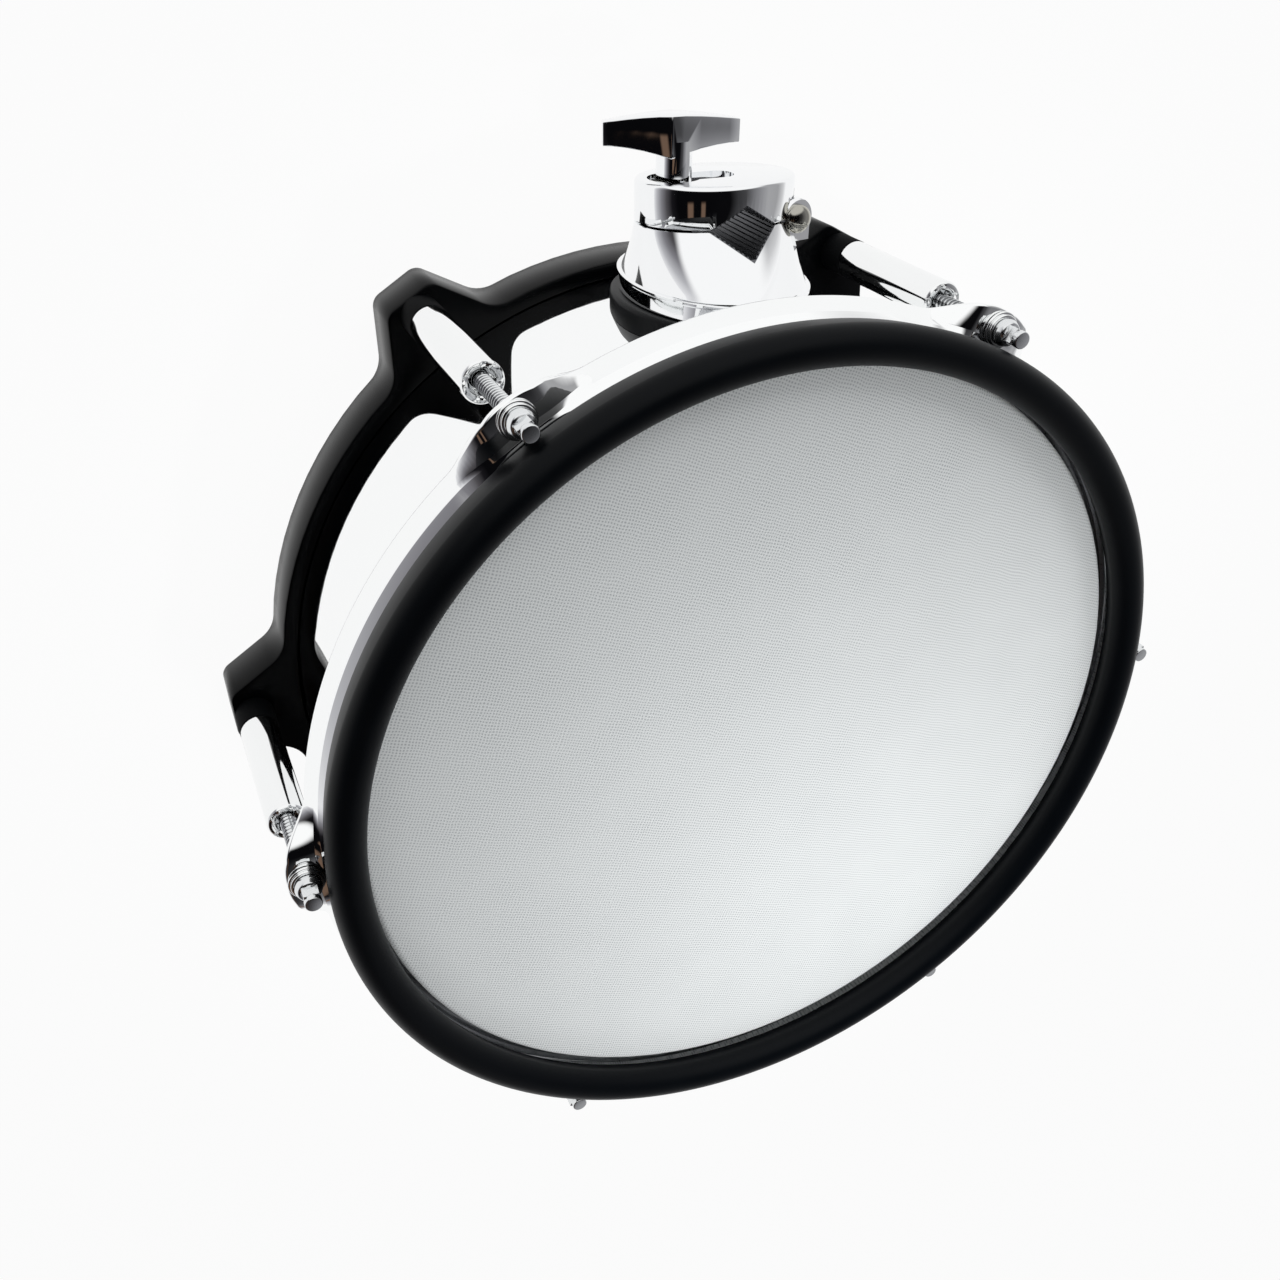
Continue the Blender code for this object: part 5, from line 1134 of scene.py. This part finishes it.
# Painted warm reflection streaks overhead, each (lean from straight up, half width), both in degrees
WARM_STREAKS = ((-28.0, 4.5), (-13.0, 3.0))


def area_light(name, place, target, size, power, colour="#ffffff"):
    """A soft rectangular lamp that faces a point."""
    data = bpy.data.lights.new(name, "AREA")
    data.shape = "RECTANGLE"
    data.size, data.size_y = size
    data.energy = power
    data.color = linear(colour)[:3]
    lamp = bpy.data.objects.new(name, data)
    bpy.context.scene.collection.objects.link(lamp)
    lamp.location = place
    lamp.rotation_euler = (Vector(target) - Vector(place)).to_track_quat("-Z", "Y").to_euler()
    lamp.visible_glossy = False


def shown_white(tree, lit, share):
    """Blend a lit surface towards plain white for what the camera and mirrors see of it."""
    path = add_node(tree, "ShaderNodeLightPath")
    either = add_node(tree, "ShaderNodeMath", {0: path.outputs["Is Camera Ray"], 1: path.outputs["Is Glossy Ray"]},
                      operation="ADD", use_clamp=True)
    seen = add_node(tree, "ShaderNodeMath", {0: either.outputs[0], 1: path.outputs["Is Transmission Ray"]},
                    operation="ADD", use_clamp=True)
    weight = add_node(tree, "ShaderNodeMath", {0: seen.outputs[0], 1: share}, operation="MULTIPLY")
    white = add_node(tree, "ShaderNodeEmission", {"Color": (1.0, 1.0, 1.0, 1.0), "Strength": 1.0})
    return add_node(tree, "ShaderNodeMixShader", {0: weight.outputs[0], 1: lit, 2: white.outputs[0]})


def glow_on_head(place, target, power):
    """A soft-edged spot that brightens the head away from the key lamp."""
    data = bpy.data.lights.new("glow", "SPOT")
    data.energy = power
    data.spot_size = math.radians(15.5)
    data.spot_blend = 1.0
    data.shadow_soft_size = 0.15
    lamp = bpy.data.objects.new("glow", data)
    bpy.context.scene.collection.objects.link(lamp)
    lamp.location = place
    lamp.rotation_euler = (Vector(target) - Vector(place)).to_track_quat("-Z", "Y").to_euler()
    lamp.visible_glossy = False


def make_surroundings():
    """White studio: the camera and mirrors see white, and the rest is a soft fill."""
    world = bpy.data.worlds.new("white_studio")
    world.use_nodes = True
    tree = world.node_tree
    tree.nodes.clear()
    light = add_node(tree, "ShaderNodeBackground", {"Color": linear("#f4f6f8"), "Strength": 0.22})
    shown = shown_white(tree, light.outputs[0], 1.0)
    add_node(tree, "ShaderNodeOutputWorld", {"Surface": shown.outputs[0]})
    return world


def make_painted_reflections():
    """Painted reflections on a glowing dome which only mirrors see: the studio pale at the walls, black overhead, with
    warm patches and a white window.
    """
    material = bpy.data.materials.new("painted_reflection_dome")
    material.use_nodes = True
    tree = material.node_tree
    tree.nodes.clear()
    place = add_node(tree, "ShaderNodeTexCoord").outputs["Object"]
    towards = add_node(tree, "ShaderNodeVectorMath", {0: place}, operation="NORMALIZE").outputs["Vector"]
    apart = add_node(tree, "ShaderNodeSeparateXYZ", {"Vector": towards})
    walls = []
    for stops in (LEFT_WALL, RIGHT_WALL):
        ramp = add_node(tree, "ShaderNodeValToRGB", {"Fac": apart.outputs["Z"]})
        elements = ramp.color_ramp.elements
        while len(elements) < len(stops):
            elements.new(0.5)
        for element, (height, colour) in zip(elements, stops):
            element.position = height
            element.color = linear(colour)
        walls.append(ramp.outputs["Color"])
    side = smooth_step(tree, apart.outputs["X"], -0.15, 0.15)
    wall = add_node(tree, "ShaderNodeMix", {"Factor": side, "A": walls[0], "B": walls[1]}, data_type="RGBA")
    seen = wall.outputs["Result"]
    level = add_node(tree, "ShaderNodeVectorMath", {0: towards, 1: (1.0, 0.0, 1.0)}, operation="MULTIPLY")
    level = add_node(tree, "ShaderNodeVectorMath", {0: level.outputs["Vector"]}, operation="NORMALIZE")
    behind = smooth_step(tree, apart.outputs["Y"], -0.02, -0.12)
    for lean, half in WARM_STREAKS:
        lean, half = math.radians(lean), math.radians(half)
        facing = add_node(tree, "ShaderNodeVectorMath", {0: level.outputs["Vector"],
                                                         1: (math.sin(lean), 0.0, math.cos(lean))},
                          operation="DOT_PRODUCT")
        share = add_node(tree, "ShaderNodeMath", {
            0: smooth_step(tree, facing.outputs["Value"], math.cos(half), math.cos(half * 0.4)), 1: behind},
            operation="MULTIPLY")
        seen = add_node(tree, "ShaderNodeMix", {"Factor": share.outputs[0], "A": seen, "B": linear("#6b5648")},
                        data_type="RGBA").outputs["Result"]
    facing = add_node(tree, "ShaderNodeVectorMath", {0: towards, 1: WINDOW}, operation="DOT_PRODUCT")
    seen = add_node(tree, "ShaderNodeMix", {"Factor": smooth_step(tree, facing.outputs["Value"], 0.66, 0.8),
                                            "A": seen, "B": linear("#ffffff")}, data_type="RGBA").outputs["Result"]
    glow = add_node(tree, "ShaderNodeEmission", {"Color": seen, "Strength": 1.0})
    add_node(tree, "ShaderNodeOutputMaterial", {"Surface": glow.outputs[0]})
    return material


def add_reflection_dome():
    """A glowing dome, no lamp, painted with the reflections of the studio's dark ceiling. Only mirrors see it."""
    bm = bmesh.new()
    bmesh.ops.create_uvsphere(bm, u_segments=96, v_segments=48, radius=6.0)
    ceiling = loose_object(bm, "ceiling")
    ceiling.data.materials.append(make_painted_reflections())
    # The dome only glows with painted reflections; it lights nothing and casts no shadow.
    ceiling.visible_camera = False
    ceiling.visible_diffuse = False
    ceiling.visible_transmission = False
    ceiling.visible_volume_scatter = False
    ceiling.visible_shadow = False


class DRUM_OT_stage(DrumOperator, bpy.types.Operator):
    """White floor, soft studio light and the camera"""

    bl_idname = "drum.stage"
    bl_label = "Stage"

    def make(self, settings):
        scene = bpy.context.scene
        scene.view_settings.view_transform = "Standard"
        floor = loose_object(bmesh.new(), "floor")
        bm = bmesh.new()
        bmesh.ops.create_grid(bm, x_segments=1, y_segments=1, size=8.0)
        bm.to_mesh(floor.data)
        bm.free()
        paper = bpy.data.materials.new("white_paper_floor")
        paper.use_nodes = True
        tree = paper.node_tree
        tree.nodes.clear()
        lit = add_node(tree, "ShaderNodeBsdfDiffuse", {"Color": linear("#f4f5f6")})
        shown = shown_white(tree, lit.outputs[0], 0.95)
        add_node(tree, "ShaderNodeOutputMaterial", {"Surface": shown.outputs[0]})
        floor.data.materials.append(paper)

        scene.world = make_surroundings()
        add_reflection_dome()
        area_light("key", (0.9, 1.7, 1.15), (0.0, 0.0, 0.08), (1.3, 1.0), 12.0)
        glow_on_head((0.25, -0.5, 2.1), (0.055, -0.095, 0.13), 150.0)

        data = bpy.data.cameras.new("camera")
        camera = bpy.data.objects.new("camera", data)
        scene.collection.objects.link(camera)
        scene.camera = camera
        data.sensor_fit = "AUTO"
        data.sensor_width = 36.0
        data.lens = 1269.558 / 1280.0 * 36.0
        data.clip_start = 0.01
        data.clip_end = 50.0
        turn = Matrix(((0.9158307, 0.2332348, -0.3268879), (-0.0215385, 0.8413946, 0.5399919),
                       (0.4009867, -0.4875005, 0.7755985)))
        camera.matrix_world = Matrix.Translation((-0.18418617, 0.2860725, 0.44944928)) @ turn.to_4x4()


PIECE_OPERATORS = (
    DRUM_OT_shell, DRUM_OT_head, DRUM_OT_rubber_rim, DRUM_OT_counterhoop, DRUM_OT_base_ring, DRUM_OT_bottom_cover,
    DRUM_OT_lug_tubes, DRUM_OT_tension_rods, DRUM_OT_clamp_saddle, DRUM_OT_clamp_base, DRUM_OT_clamp_cap,
    DRUM_OT_hinge_pin, DRUM_OT_wing_screw, DRUM_OT_jack, DRUM_OT_inner_parts, DRUM_OT_stage)


class DRUM_PT_panel(bpy.types.Panel):
    """Lists the drum's pieces"""

    bl_idname = "DRUM_PT_panel"
    bl_label = "Electronic snare drum"
    bl_space_type = "VIEW_3D"
    bl_region_type = "UI"
    bl_category = "Drum"

    def draw(self, context):
        for name in DrumSettings.__annotations__:
            self.layout.prop(context.scene.drum_settings, name)
        for operator in PIECE_OPERATORS:
            self.layout.operator(operator.bl_idname)


CLASSES = (DrumSettings, *PIECE_OPERATORS, DRUM_PT_panel)


def register():
    """Make the classes known to Blender."""
    for cls in CLASSES:
        bpy.utils.register_class(cls)
    bpy.types.Scene.drum_settings = bpy.props.PointerProperty(type=DrumSettings)


def unregister():
    """Take the classes out again."""
    del bpy.types.Scene.drum_settings
    for cls in reversed(CLASSES):
        bpy.utils.unregister_class(cls)


def main():
    """Build every piece."""
    register()
    for operator in PIECE_OPERATORS:
        space, name = operator.bl_idname.split(".")
        getattr(getattr(bpy.ops, space), name)()


if __name__ == "__main__":
    main()
